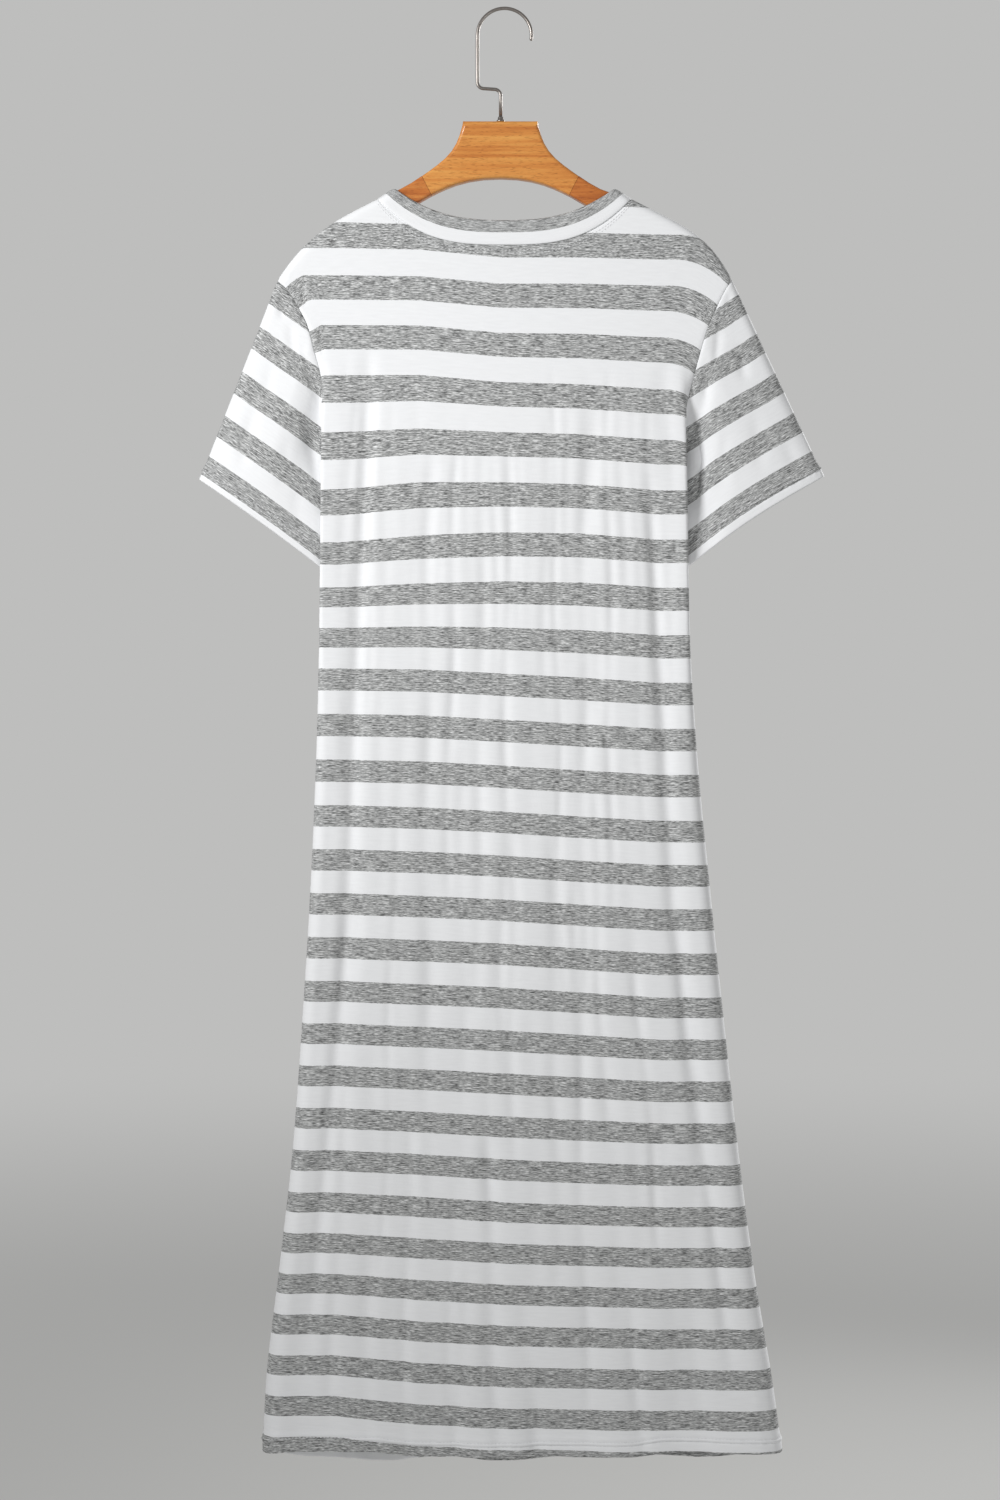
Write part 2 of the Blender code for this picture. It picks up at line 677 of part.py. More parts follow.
def make_collar(material, group):
    mesh = bmesh.new()
    radius = 0.5 * COLLAR_DIAMETER * MM
    bmesh.ops.create_cone(mesh, cap_ends=True, segments=COLLAR_SIDES, radius1=radius, radius2=radius,
                          depth=COLLAR_HEIGHT * MM)
    data = bpy.data.meshes.new("hook_collar")
    mesh.to_mesh(data)
    mesh.free()
    data.materials.append(material)
    item = bpy.data.objects.new("hook_collar", data)
    height = HANGER_TOP_HEIGHT + SEAM_GAP + 0.5 * COLLAR_HEIGHT
    item.location = (HOOK_STEM_X * MM, 0.0, height * MM)
    group.objects.link(item)
    return item


def make_cloth(jersey, group):
    """All the pieces of the dress, with normals shared along their seams."""
    back = panel_points("back")
    front = panel_points("front")
    pieces = [
        {"name": "back", "points": back, "closed": False, "flip": False, "pulls": "end left right"},
        {"name": "front", "points": front, "closed": False, "flip": True, "pulls": "end left right"},
        {"name": "neckband", "points": band_points(back, front), "closed": True, "flip": False,
         "pulls": "start"},
    ]
    for name, shape in SLEEVES.items():
        points = sleeve_points(back, front, shape)
        pieces.append({"name": name, "points": points, "closed": True, "flip": shape["side"] < 0,
                       "pulls": "start"})
    store = {}
    for piece in pieces:
        add_normals(store, piece["points"], piece["closed"], piece["flip"])
    for piece in pieces:
        half = 0.5 * CLOTH_WALL
        outward = BAND_WALL - half if piece["name"] == "neckband" else half
        cloth_object(piece["name"], piece["points"], piece["closed"], store,
                     piece["pulls"].split(), outward, half, jersey, group)


def main():
    clear_scene()
    group = bpy.data.collections.new("tshirt_dress_on_hanger")
    bpy.context.scene.collection.children.link(group)
    jersey = make_material("striped jersey", COLOURS["jersey"], 0.9, 0.0)
    wood = make_material("beech", COLOURS["wood"], 0.45, 0.0)
    arm_wood = make_material("beech arm", COLOURS["arm_wood"], 0.45, 0.0)
    steel = make_material("steel wire", COLOURS["steel"], 0.3, 1.0)
    make_cloth(jersey, group)
    plate("hanger_centre", centre_outline(), HANGER_THICKNESS, HANGER_ROUNDING, wood, group)
    plate("hanger_arm_left", arm_outline(-1), HANGER_THICKNESS, HANGER_ROUNDING, arm_wood, group)
    plate("hanger_arm_right", arm_outline(1), HANGER_THICKNESS, HANGER_ROUNDING, arm_wood, group)
    make_collar(steel, group)
    make_hook(steel, group)


main()
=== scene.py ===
import math
import random

import bmesh
import bpy
import numpy as np
from mathutils import Matrix, Vector


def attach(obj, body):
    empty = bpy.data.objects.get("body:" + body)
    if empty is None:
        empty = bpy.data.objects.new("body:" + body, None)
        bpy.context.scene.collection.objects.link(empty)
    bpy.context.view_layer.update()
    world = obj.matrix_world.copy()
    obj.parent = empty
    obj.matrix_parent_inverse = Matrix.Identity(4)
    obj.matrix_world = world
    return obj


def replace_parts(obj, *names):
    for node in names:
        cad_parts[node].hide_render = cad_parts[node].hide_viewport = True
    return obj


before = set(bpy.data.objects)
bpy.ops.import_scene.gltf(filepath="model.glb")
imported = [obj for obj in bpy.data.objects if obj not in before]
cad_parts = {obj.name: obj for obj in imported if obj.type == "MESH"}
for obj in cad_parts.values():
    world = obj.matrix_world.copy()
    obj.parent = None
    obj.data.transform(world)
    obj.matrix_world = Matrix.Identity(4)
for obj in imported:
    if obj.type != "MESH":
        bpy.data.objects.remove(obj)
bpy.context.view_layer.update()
print("frame loaded:", len(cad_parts), "solids")

mm = 0.001
random.seed(7)


def toLinear(hexColour):
    # sRGB hex value to the linear colour that the shader takes
    parts = [int(hexColour[i:i + 2], 16) / 255.0 for i in (1, 3, 5)]
    return [c / 12.92 if c <= 0.04045 else ((c + 0.055) / 1.055) ** 2.4 for c in parts] + [1.0]


def setInputs(material, node, inputs):
    # values, or (node, output) pairs to link; "_2" picks the third socket
    for name, value in inputs.items():
        socket = node.inputs[int(name[1:]) if name[0] == "_" else name.replace("_", " ")]
        if isinstance(value, tuple) and isinstance(value[0], bpy.types.Node):
            material.node_tree.links.new(value[0].outputs[value[1]], socket)
        else:
            socket.default_value = value


def addNode(material, kind, settings=None, **inputs):
    # one node with its settings and inputs
    node = material.node_tree.nodes.new("ShaderNode" + kind)
    for name, value in (settings or {}).items():
        setattr(node, name, value)
    setInputs(material, node, inputs)
    return node


def addMath(material, operation, *values):
    inputs = {"_%d" % i: value for i, value in enumerate(values)}
    return addNode(material, "Math", {"operation": operation}, **inputs)


def addNoise(material, coordinates, scale, detail, roughness=0.5):
    # noise drawn out along the axes; scale is in cycles per metre
    place = addNode(material, "Mapping", Vector=coordinates, Scale=scale)
    return addNode(material, "TexNoise", Vector=(place, "Vector"), Scale=1.0,
                   Detail=detail, Roughness=roughness)


def addRamp(material, source, *stops):
    # colour ramp of (place, hex) stops, driven by a (node, output) pair
    node = addNode(material, "ValToRGB", Fac=source)
    elements = node.color_ramp.elements
    while len(elements) < len(stops):
        elements.new(0.5)
    for element, (place, colour) in zip(elements, stops):
        element.position = place
        element.color = toLinear(colour)
    return node


def newMaterial(name):
    material = bpy.data.materials.new(name)
    material.use_nodes = True
    return material


def finishMaterial(material, **inputs):
    setInputs(material, material.node_tree.nodes["Principled BSDF"], inputs)
    return material


def makePiece(name, mesh, material, flatCaps=False):
    # a finished mesh becomes a piece; flatCaps shades faces with more than four sides flat
    for face in mesh.faces:
        face.smooth = not flatCaps or len(face.verts) == 4
    data = bpy.data.meshes.new(name)
    mesh.to_mesh(data)
    mesh.free()
    data.materials.append(material)
    piece = bpy.data.objects.new(name, data)
    bpy.context.scene.collection.objects.link(piece)
    return piece


def closeRings(mesh, rings):
    # skin over a run of rings of equal length, capped at both ends
    count = len(rings[0])
    for first, second in zip(rings, rings[1:]):
        for i in range(count):
            after = (i + 1) % count
            mesh.faces.new((first[i], first[after], second[after], second[i]))
    mesh.faces.new(rings[0])
    mesh.faces.new(rings[-1])
    bmesh.ops.recalc_face_normals(mesh, faces=mesh.faces)


def clamp(value):
    return np.clip(value, 0.0, 1.0)


def pathLength(points, axis=0):
    # distance from the first point along one axis of a grid
    steps = np.linalg.norm(np.diff(points, axis=axis), axis=-1)
    start = np.zeros_like(np.take(steps, [0], axis=axis))
    return np.concatenate([start, np.cumsum(steps, axis=axis)], axis=axis)


def smoothValue(table, name, at):
    # value of a named column on a smooth curve through the table's rows
    column = table["columns"].index(name)
    keys = [row[0] for row in table["rows"]]
    values = [row[column] for row in table["rows"]]
    if at <= keys[0]:
        return float(values[0])
    if at >= keys[-1]:
        return float(values[-1])
    i = max(k for k in range(len(keys) - 1) if keys[k] <= at)
    span = keys[i + 1] - keys[i]
    part = (at - keys[i]) / span
    slope = (values[i + 1] - values[i]) / span

    def tangent(k):
        if k == 0 or k == len(keys) - 1:
            return slope
        before = (values[k] - values[k - 1]) / (keys[k] - keys[k - 1])
        after = (values[k + 1] - values[k]) / (keys[k + 1] - keys[k])
        return 0.0 if before * after <= 0.0 else 2.0 * before * after / (before + after)

    start, end = tangent(i) * span, tangent(i + 1) * span
    smooth = part * part * (3.0 - 2.0 * part)
    return (values[i] + smooth * (values[i + 1] - values[i]) + start * part * (1.0 - part) ** 2
            - end * part * part * (1.0 - part))


# sizes of the dress in millimetres, the same form as the solids
dress = {
    "hemHeight": -1384.0, "underarmHeight": -447.0,
    "shoulderTipHeight": -262.0, "flatRowHeight": -350.0,
    "neckHalfWidth": 122.0, "neckPointHeight": -182.7,
    "neck": {"back": (45.0, 3.0), "front": (102.0, 2.2)},  # drop and power of each neckline
    "bandEdgeHalfWidth": 107.0, "bandEdgeHeight": -173.0,
    "bandEdge": {"back": (31.5, 2.6), "front": (88.5, 2.2)},
    "shoulderSlope": 0.5, "shoulderTipX": 218.0, "ridgeDepth": 10.0, "ridgePower": 2.6,
    "shoulderDrop": {-1: (30.0, 3.5), 1: (28.0, 5.0)},
    "capStart": 166.0, "foldArc": 7.0, "seamArc": 5.0, "shortestFlap": 2.0,
    "flapPower": 1.6, "flapStartHeight": -385.0,
    "jersey": 0.7,  # thickness of the cloth
}

body = {
    "columns": ("height", "left", "right", "depth"),
    "rows": (
        (-1400, -232, 268, 26), (-1325, -229, 258, 25), (-1210, -216, 239, 23.5),
        (-1095, -203, 224, 22), (-960, -193, 209, 21), (-845, -186, 197, 20),
        (-710, -180, 184, 19), (-595, -177, 177, 19), (-450, -175.5, 174.5, 18),
        (-400, -175, 173.5, 16), (-378, -175, 176, 15), (-357, -176, 181, 14.3),
        (-327, -183, 189, 13), (-305, -189, 196, 12), (-289, -197, 203, 11),
        (-269, -210, 213, 10.2), (-262, -218, 218, 10),
    ),
}

# how far each side turns back (degrees), how tightly, and where its seam lies in the depth
sideFold = {
    "columns": ("height", "turnLeft", "turnRight", "radius", "seamDepth"),
    "rows": (
        (-1400, 90, 90, 19, 0), (-900, 90, 90, 13, 0), (-820, 91, 91, 12.5, 0),
        (-750, 97, 97, 11.5, 0), (-690, 110, 110, 9, 0), (-640, 130, 130, 6, 0),
        (-600, 148, 148, 4, 0), (-560, 162, 162, 2.8, 0), (-447, 168, 168, 2.6, 0),
        (-432, 160, 156, 2.6, 0.22), (-416, 148, 140, 2.6, 0.35), (-400, 128, 114, 2.6, 0.44),
        (-384, 102, 80, 2.6, 0.5), (-368, 72, 45, 2.6, 0.6), (-350, 38, 14, 2.6, 0.78),
        (-320, 0, 0, 2.6, 1),
    ),
}

# the long soft troughs that the solids have too
# panel, top, xTop, middle, xMiddle, bottom, xBottom, depth, width
longTroughs = (
    ("back", -320, -130, -880, -150, -1290, -187, 4.2, 7.5),
    ("back", -430, 138, -863, 161, -1330, 220, 4.0, 7.5),
    ("back", -600, -40, -1000, -52, -1380, -66, 1.5, 24),
    ("back", -420, 60, -900, 62, -1380, 90, 1.5, 22),
    ("front", -360, -128, -900, -150, -1340, -185, 3.0, 11),
    ("front", -420, 138, -900, 160, -1360, 205, 3.0, 11),
    ("front", -500, 10, -1000, 16, -1380, 30, 1.5, 26),
)
troughFade, waveFade = 70.0, 150.0

# how far each hem hangs below the side seams, along its width; the front hangs a little lower
hemDrop = {
    "columns": ("x", "back", "front"),
    "rows": (
        (-231, 0, 0), (-212, -2, 9.5), (-190, -2.5, 13.5), (-165, -3, 15.5), (-125, -3.5, 16.5),
        (-106, -1, 16.5), (-89, 1.3, 15), (-60, 2, 14), (-10, 2.3, 16.5), (18, 2.2, 17),
        (50, 1.5, 14.5), (100, 1.4, 14), (124, 1.3, 15), (153, -2.5, 13), (190, -2, 13),
        (222, -1.5, 12), (247, -1, 8), (268, 0, 0),
    ),
    "stiff": 20,  # the turned-up allowance hangs as one
    "fade": 90,
}
hemWaves = {"back": (3.0, 118.0, 20.0), "front": (3.5, 104.0, -35.0)}  # depth, length, shift

# fine creases: soft troughs where the jersey hangs slack, laid one by one, no two alike
creaseForm = {
    "scale": 2.5,  # the depths below are those of a calm stretch of cloth
    "drawn": ((0.7, 1.7), (0.3, 1.35), (-4.5, 4.5), (-4.5, 4.5)),  # width, depth and both ends
    "shortest": 100.0, "swing": 2.0, "swingFrom": 120.0, "swingSpan": 41.0, "unevenSpan": 33.0,
    "fade": 60.0, "fadeShare": 0.4,
}
# xTop, top, xBottom, bottom, width, depth
creases = {
    "back": (
        (-195, -262, -191, -288, 3, 1), (-176, -305, -176, -332, 3, 0.9),
        (-152, -318, -158, -980, 4.5, 0.8), (-141, -326, -150, -620, 4, 0.6),
        (-128, -340, -134, -760, 5, 0.7), (-117, -372, -124, -900, 4.5, 0.7),
        (-104, -352, -108, -560, 4, 0.5), (-95, -385, -104, -1010, 5, 0.7),
        (-82, -366, -88, -690, 4, 0.5), (-70, -392, -76, -1090, 5, 0.8), (-57, -380, -60, -640, 4, 0.6),
        (-46, -400, -52, -870, 4.5, 0.6), (-34, -386, -36, -590, 4, 0.5),
        (-22, -396, -26, -980, 5, 0.7), (-10, -404, -10, -700, 4, 0.6), (2, -390, 0, -1050, 5, 0.7),
        (13, -400, 14, -620, 4, 0.5), (25, -384, 25, -880, 4.5, 0.7), (38, -378, 40, -700, 4, 0.6),
        (50, -338, 52, -960, 5, 0.8), (61, -345, 66, -640, 4, 0.6), (74, -336, 80, -1080, 5, 0.8),
        (86, -342, 90, -720, 4, 0.6), (97, -338, 104, -900, 4.5, 0.7), (109, -350, 116, -620, 4, 0.6),
        (122, -344, 132, -840, 5, 0.8), (135, -352, 142, -660, 4, 0.7), (147, -330, 158, -760, 5, 1),
        (158, -300, 166, -700, 5, 1), (-160, -700, -196, -1290, 6, 1),
        (-140, -820, -166, -1390, 5.5, 0.8), (-122, -980, -140, -1445, 6, 0.8),
        (-104, -760, -118, -1240, 5, 0.7), (-90, -1040, -100, -1445, 6, 0.9),
        (-64, -720, -70, -1180, 5, 0.7), (-52, -1100, -58, -1445, 6, 0.8),
        (-38, -700, -40, -1200, 5, 0.7), (-14, -820, -14, -1350, 5.5, 0.8),
        (10, -760, 12, -1150, 5, 0.7), (28, -940, 34, -1445, 6, 0.9), (42, -760, 52, -1260, 5, 0.8),
        (64, -820, 78, -1445, 5.5, 0.9), (84, -720, 100, -1100, 5, 0.8), (98, -980, 122, -1445, 6, 1),
        (112, -700, 132, -1290, 5.5, 0.9), (128, -900, 150, -1220, 5, 0.9),
        (146, -1020, 176, -1445, 6, 1.1), (160, -760, 188, -1180, 5.5, 1),
        (176, -900, 212, -1300, 6, 1.1), (-178, -1090, -204, -1450, 8, 1.2),
        (-128, -1160, -136, -1450, 9, 1), (-96, -1010, -112, -1450, 10, 1.1),
        (-38, -1190, -44, -1450, 9, 1.2), (-14, -1060, -6, -1450, 11, 1.5),
        (22, -1210, 30, -1450, 8, 1.2), (70, -1120, 84, -1450, 10, 1), (118, -1180, 134, -1450, 9, 1.2),
        (168, -1090, 196, -1450, 9, 1.3),
    ),
    "front": (
        (-150, -330, -160, -900, 4.5, 0.8), (-133, -352, -138, -640, 4, 0.6),
        (-118, -338, -126, -1040, 5, 0.8), (-101, -366, -106, -720, 4, 0.6),
        (-86, -345, -92, -940, 4.5, 0.7), (-72, -380, -74, -620, 4, 0.5),
        (-59, -372, -64, -1090, 5, 0.8), (-44, -390, -47, -760, 4, 0.6), (-30, -378, -31, -980, 5, 0.7),
        (-17, -396, -18, -600, 4, 0.5), (-3, -384, -4, -880, 4.5, 0.7), (11, -392, 12, -690, 4, 0.6),
        (24, -370, 26, -1020, 5, 0.7), (40, -360, 42, -640, 4, 0.6), (54, -376, 60, -900, 5, 0.8),
        (69, -352, 74, -700, 4, 0.6), (85, -340, 94, -1060, 5, 0.8), (101, -356, 108, -640, 4, 0.6),
        (116, -338, 128, -860, 5, 0.8), (131, -350, 140, -700, 4, 0.7), (148, -334, 160, -940, 5, 0.9),
        (-156, -780, -188, -1300, 6, 1), (-136, -900, -156, -1445, 5.5, 0.9),
        (-112, -720, -128, -1210, 5, 0.8), (-92, -1000, -104, -1450, 6, 0.9),
        (-70, -800, -80, -1300, 5, 0.8), (-46, -960, -52, -1450, 6, 0.9),
        (-22, -760, -26, -1160, 5, 0.7), (4, -900, 4, -1450, 6, 0.9), (30, -740, 36, -1240, 5, 0.8),
        (54, -980, 64, -1450, 6, 0.9), (78, -760, 92, -1180, 5, 0.8), (102, -900, 124, -1450, 6, 1),
        (130, -780, 154, -1280, 5.5, 1), (156, -960, 190, -1450, 6, 1.1),
        (-172, -1100, -200, -1455, 9, 1.2), (-118, -1190, -130, -1455, 8, 1.1),
        (-72, -1050, -84, -1455, 11, 1.3), (-20, -1170, -22, -1455, 9, 1),
        (36, -1080, 44, -1455, 10, 1.3), (92, -1200, 102, -1455, 8, 1.1),
        (142, -1110, 166, -1455, 10, 1.2),
    ),
    "sleeve_left": (
        (-214, -266, -213, -302, 3, 1.3), (-206, -300, -201, -345, 4, 1),
        (-197, -318, -178, -382, 4, 1.2), (-188, -385, -178, -480, 6, 1.6),
        (-208, -405, -214, -470, 6, 0.8), (-238, -372, -254, -452, 7, 0.7),
        (-222, -330, -232, -392, 5, 0.6), (-198, -450, -200, -515, 4.5, 0.7),
    ),
    "sleeve_right": (
        (214, -264, 216, -296, 3.5, 1.2), (206, -300, 202, -352, 4, 1), (226, -318, 230, -362, 5, 0.9),
        (198, -335, 183, -425, 6, 1.6), (190, -390, 178, -500, 8, 4.2), (194, -440, 186, -545, 9, 3),
        (212, -400, 206, -480, 6, 0.8), (240, -380, 246, -452, 7, 0.6), (268, -410, 282, -450, 7, 0.5),
    ),
}

# outer and inner end of each cuff, and how far its stripes lie from the cuff's line
sleeves = {
    "sleeve_left": {"side": -1, "outer": (293.0, -452.0), "inner": (160.0, -549.0), "arch": 1.5,
                    "stripes": (5.0, 43.0, 86.0, 131.0, 175.5, 221.0)},
    "sleeve_right": {"side": 1, "outer": (307.0, -449.0), "inner": (160.0, -549.0), "arch": 5.0,
                     "stripes": (7.8, 46.7, 88.0, 129.8, 170.5, 211.0)},
}
sleeveForm = {
    "cuffDepth": 12.0, "cuffPower": 2.4, "rootHandle": 5.0, "underarmHandle": 12.0,
    "rootReach": 0.44, "rootRise": 30.0, "rootClearance": 1.8, "capHandle": 40.0,
    "cuffHandle": 50.0, "lift": (0.57, 0.82),  # the cuff's arch rises square to its line
}

# each row is a stripe's number and the heights where it turns grey, at five places across
stripes = {
    "period": 43.2,  # mean height of a grey and a white stripe together
    "greyShare": 0.487,
    "hemPitch": 41.0,  # the same near the hem, where the jersey is least stretched
    "sleevePitch": 40.0,
    "frontSag": 0.1,  # periods by which the front's stripes hang lower in the middle
    "places": (-158.0, -81.0, -4.0, 72.5, 149.0),
    "rows": (
        (-2, -155, -158, -167, -166, -168), (-1, -206, -208, -216, -216, -218),
        (0, -257, -258, -265, -265, -267), (2, -353, -353, -360, -362, -367),
        (4, -463, -456, -456, -458, -464), (5, -514, -507, -504, -505, -511),
        (6, -557, -553, -551, -552, -557), (8, -634, -635, -639, -643, -648),
        (11, -765, -767, -771, -776, -780), (15, -933, -936, -939, -944, -949),
        (20, -1135, -1139, -1144, -1147, -1149), (26, -1367.5, -1376.5, -1379.5, -1380.5, -1381.5),
        (28, -1445, -1454, -1457, -1458, -1459),
    ),
}

# stripes bend down beside the armholes: from what x on, and how much, at each height
armholeBend = {
    "columns": ("height", "leftFrom", "leftSlope", "rightFrom", "rightCurve"),
    "rows": (
        (-470, 176, 0.0, 160, 0.0), (-430, 176, 0.0, 158, 0.008), (-370, 174, 0.0, 156, 0.016),
        (-335, 172, 0.35, 152, 0.010), (-310, 174, 0.5, 150, 0.007), (-262, 195, 0.7, 160, 0.008),
        (-200, 200, 0.6, 170, 0.008),
    ),
}


def ridgeHeight(x):
    # shoulder ridge; inside the neck points it is the line along the hanger's arm
    x = np.asarray(x, float)
    out = np.abs(x) - dress["neckHalfWidth"]
    part = np.maximum(out, 0.0) / (dress["shoulderTipX"] - dress["neckHalfWidth"])
    left, right = dress["shoulderDrop"][-1], dress["shoulderDrop"][1]
    drop = np.where(x < 0.0, left[0] * part ** left[1], right[0] * part ** right[1])
    return dress["neckPointHeight"] - dress["shoulderSlope"] * out - drop


def neckCurve(x, halfWidth, top, shape):
    part = np.minimum(np.abs(x) / halfWidth, 1.0)
    return top - shape[0] * (1.0 - part ** shape[1])


pathSteps = (8, 6, 4)  # points along the fold, the flap and the seam's edge
pathCount = sum(pathSteps)


def sidePath(height, side):
    # points from the seam round the side fold to the flat of the back panel
    height = min(height, dress["shoulderTipHeight"])
    edge = abs(smoothValue(body, "left" if side < 0 else "right", height))
    depth = smoothValue(body, "depth", height)
    turn = math.radians(smoothValue(sideFold, "turnLeft" if side < 0 else "turnRight", height))
    radius = smoothValue(sideFold, "radius", height)
    quarter = math.radians(90.0)
    arc = max(radius * turn, dress["foldArc"])
    endTurn = min(turn, quarter)
    seamArc = dress["seamArc"] * (1.0 + (turn - endTurn) / quarter)

    def walk(flap):
        x = y = 0.0
        points = [(x, y)]
        spans = ((arc, 0.0, turn), (flap, turn, turn), (seamArc, turn, endTurn))
        for (length, first, last), steps in zip(spans, pathSteps):
            for step in range(steps):
                angle = first + (last - first) * (step + 0.5) / steps
                x += math.cos(angle) * length / steps
                y += math.sin(angle) * length / steps
                points.append((x, y))
        return points

    if height <= dress["underarmHeight"]:
        flap = max((depth - walk(0.0)[-1][1]) / max(math.sin(turn), 0.2), dress["shortestFlap"])
    elif turn < 0.01 or height > dress["flapStartHeight"]:
        flap = max(dress["shortestFlap"], edge - dress["capStart"] - dress["foldArc"] - dress["seamArc"])
    else:
        low = sidePath(dress["underarmHeight"], side)
        full = math.dist(low[pathSteps[2]], low[pathSteps[2] + pathSteps[1]])
        part = (dress["flapStartHeight"] - height) / (dress["flapStartHeight"] - dress["underarmHeight"])
        flap = dress["shortestFlap"] + (full - dress["shortestFlap"]) * part ** dress["flapPower"]
    points = walk(flap)
    if points[-1][1] > 0.01:
        stretch = depth * (1.0 - smoothValue(sideFold, "seamDepth", height)) / points[-1][1]
        points = [(x, y * stretch) for x, y in points]
    start = edge - max(x for x, y in points)
    return [(side * (start + x), y - depth) for x, y in reversed(points)]


sideHeights = np.arange(-1404.0, -260.0, 2.0)
sidePoints = {side: np.array([sidePath(h, side) for h in sideHeights]) for side in (-1, 1)}


def sideAt(side, index, heights):
    # (x, y) of one point of the side path at many heights
    heights = np.minimum(heights, dress["shoulderTipHeight"])
    samples = sidePoints[side]
    return (np.interp(heights, sideHeights, samples[:, index, 0]),
            np.interp(heights, sideHeights, samples[:, index, 1]))


yokeSteps, neckSteps = 20, 107  # columns at each side of the neck, and across it
neckShare = dress["neckHalfWidth"] / dress["capStart"]
flatPlaces = np.concatenate([np.linspace(-1.0, -neckShare, yokeSteps + 1)[:-1],
                             np.linspace(-neckShare, neckShare, neckSteps),
                             np.linspace(neckShare, 1.0, yokeSteps + 1)[1:]])
columnCount = 2 * pathCount + len(flatPlaces)
flatColumns = slice(pathCount, pathCount + len(flatPlaces))
neckColumns = np.arange(pathCount + yokeSteps, pathCount + yokeSteps + neckSteps)
hemRows = (0.0, 0.15, 0.8, 2.0, 4.5, 7.5, 8.7, 9.6, 10.5, 11.3, 12.1, 13.0, 13.9, 15.5, 17.0, 18.5,
           21.0, 25.0, 31.0, 38.0)  # height above the fold
hemFold = ((17.0, 1.0), (13.0, 1.0), (9.6, 1.0), (7.5, 1.0), (4.5, 1.0), (2.0, 1.0), (0.8, 0.97),
           (0.15, 0.85), (0.0, 0.5), (0.15, 0.15))  # height above the fold, share of the layer gap
hemStitches = (9.6, 13.0)


def troughDepth(panel, x, heights):
    # long troughs and hem waves of the solids, as a depth inwards
    depth = np.zeros(x.shape)
    for name, top, xTop, middle, xMiddle, bottom, xBottom, deep, width in longTroughs:
        if name == panel:
            centre = np.interp(heights, (bottom, middle, top), (xBottom, xMiddle, xTop))
            fade = clamp((top - heights) / troughFade)
            fade = np.minimum(fade, clamp((heights - bottom) / troughFade))
            depth += deep * fade * np.exp(-((x - centre) / width) ** 2)
    deep, length, shift = hemWaves[panel]
    nearHem = np.maximum(1.0 - (heights - dress["hemHeight"]) / waveFade, 0.0)
    return depth + deep * nearHem ** 2 * np.sin(2.0 * math.pi * (x - shift) / length)


def creaseDepth(name, x, heights):
    # fine creases, each fading in and out along its length; a seeded draw makes them uneven
    form = creaseForm
    draw = random.Random(name).uniform
    depth = np.zeros(x.shape)
    for xTop, top, xBottom, bottom, width, deep in creases[name]:
        length = top - bottom
        deep *= form["scale"]
        drawn = [draw(*limits) for limits in form["drawn"]]
        phase = xTop
        if length >= form["shortest"]:
            width, deep = width * drawn[0], deep * drawn[1]
            xTop, xBottom = xTop + drawn[2], xBottom + drawn[3]
        along = (top - heights) / length
        centre = xTop + (xBottom - xTop) * along
        if length > form["swingFrom"]:
            centre = centre + form["swing"] * np.sin(heights / form["swingSpan"] + phase)
        ends = min(form["fade"], form["fadeShare"] * length) / length
        fade = clamp(along / ends) * clamp((1.0 - along) / ends)
        uneven = 0.7 + 0.3 * np.sin(heights / form["unevenSpan"] + 2.0 * phase)
        fade = fade * fade * (3.0 - 2.0 * fade) * uneven
        depth += deep * fade * np.exp(-((x - centre) / width) ** 2)
    return depth


def gridNormals(points, closed, spot, heading):
    # unit normals of a grid, rows first, turned to point along the heading at one spot
    if closed:
        across = np.roll(points, -1, axis=1) - np.roll(points, 1, axis=1)
    else:
        across = np.gradient(points, axis=1)
    normals = np.cross(across, np.gradient(points, axis=0))
    normals = normals / np.maximum(np.linalg.norm(normals, axis=2, keepdims=True), 1e-9)
    return normals * np.sign(np.sum(normals[spot] * np.array(heading)))


def acrossFlat(left, right):
    # the flat of a panel, spread between its two edges
    return left + (right - left) * 0.5 * (flatPlaces + 1.0)


def columnPlaces(height, flat):
    # x of every column at one height
    places = np.zeros(columnCount)
    for i in range(pathCount):
        places[i] = sideAt(-1, i, height)[0]
        places[-1 - i] = sideAt(1, i, height)[0]
    places[flatColumns] = flat
    return places


skirtRows, chestRows, yokeRows = 103, 14, 24
topFade = 60.0  # the troughs fade in over this length below the shoulder


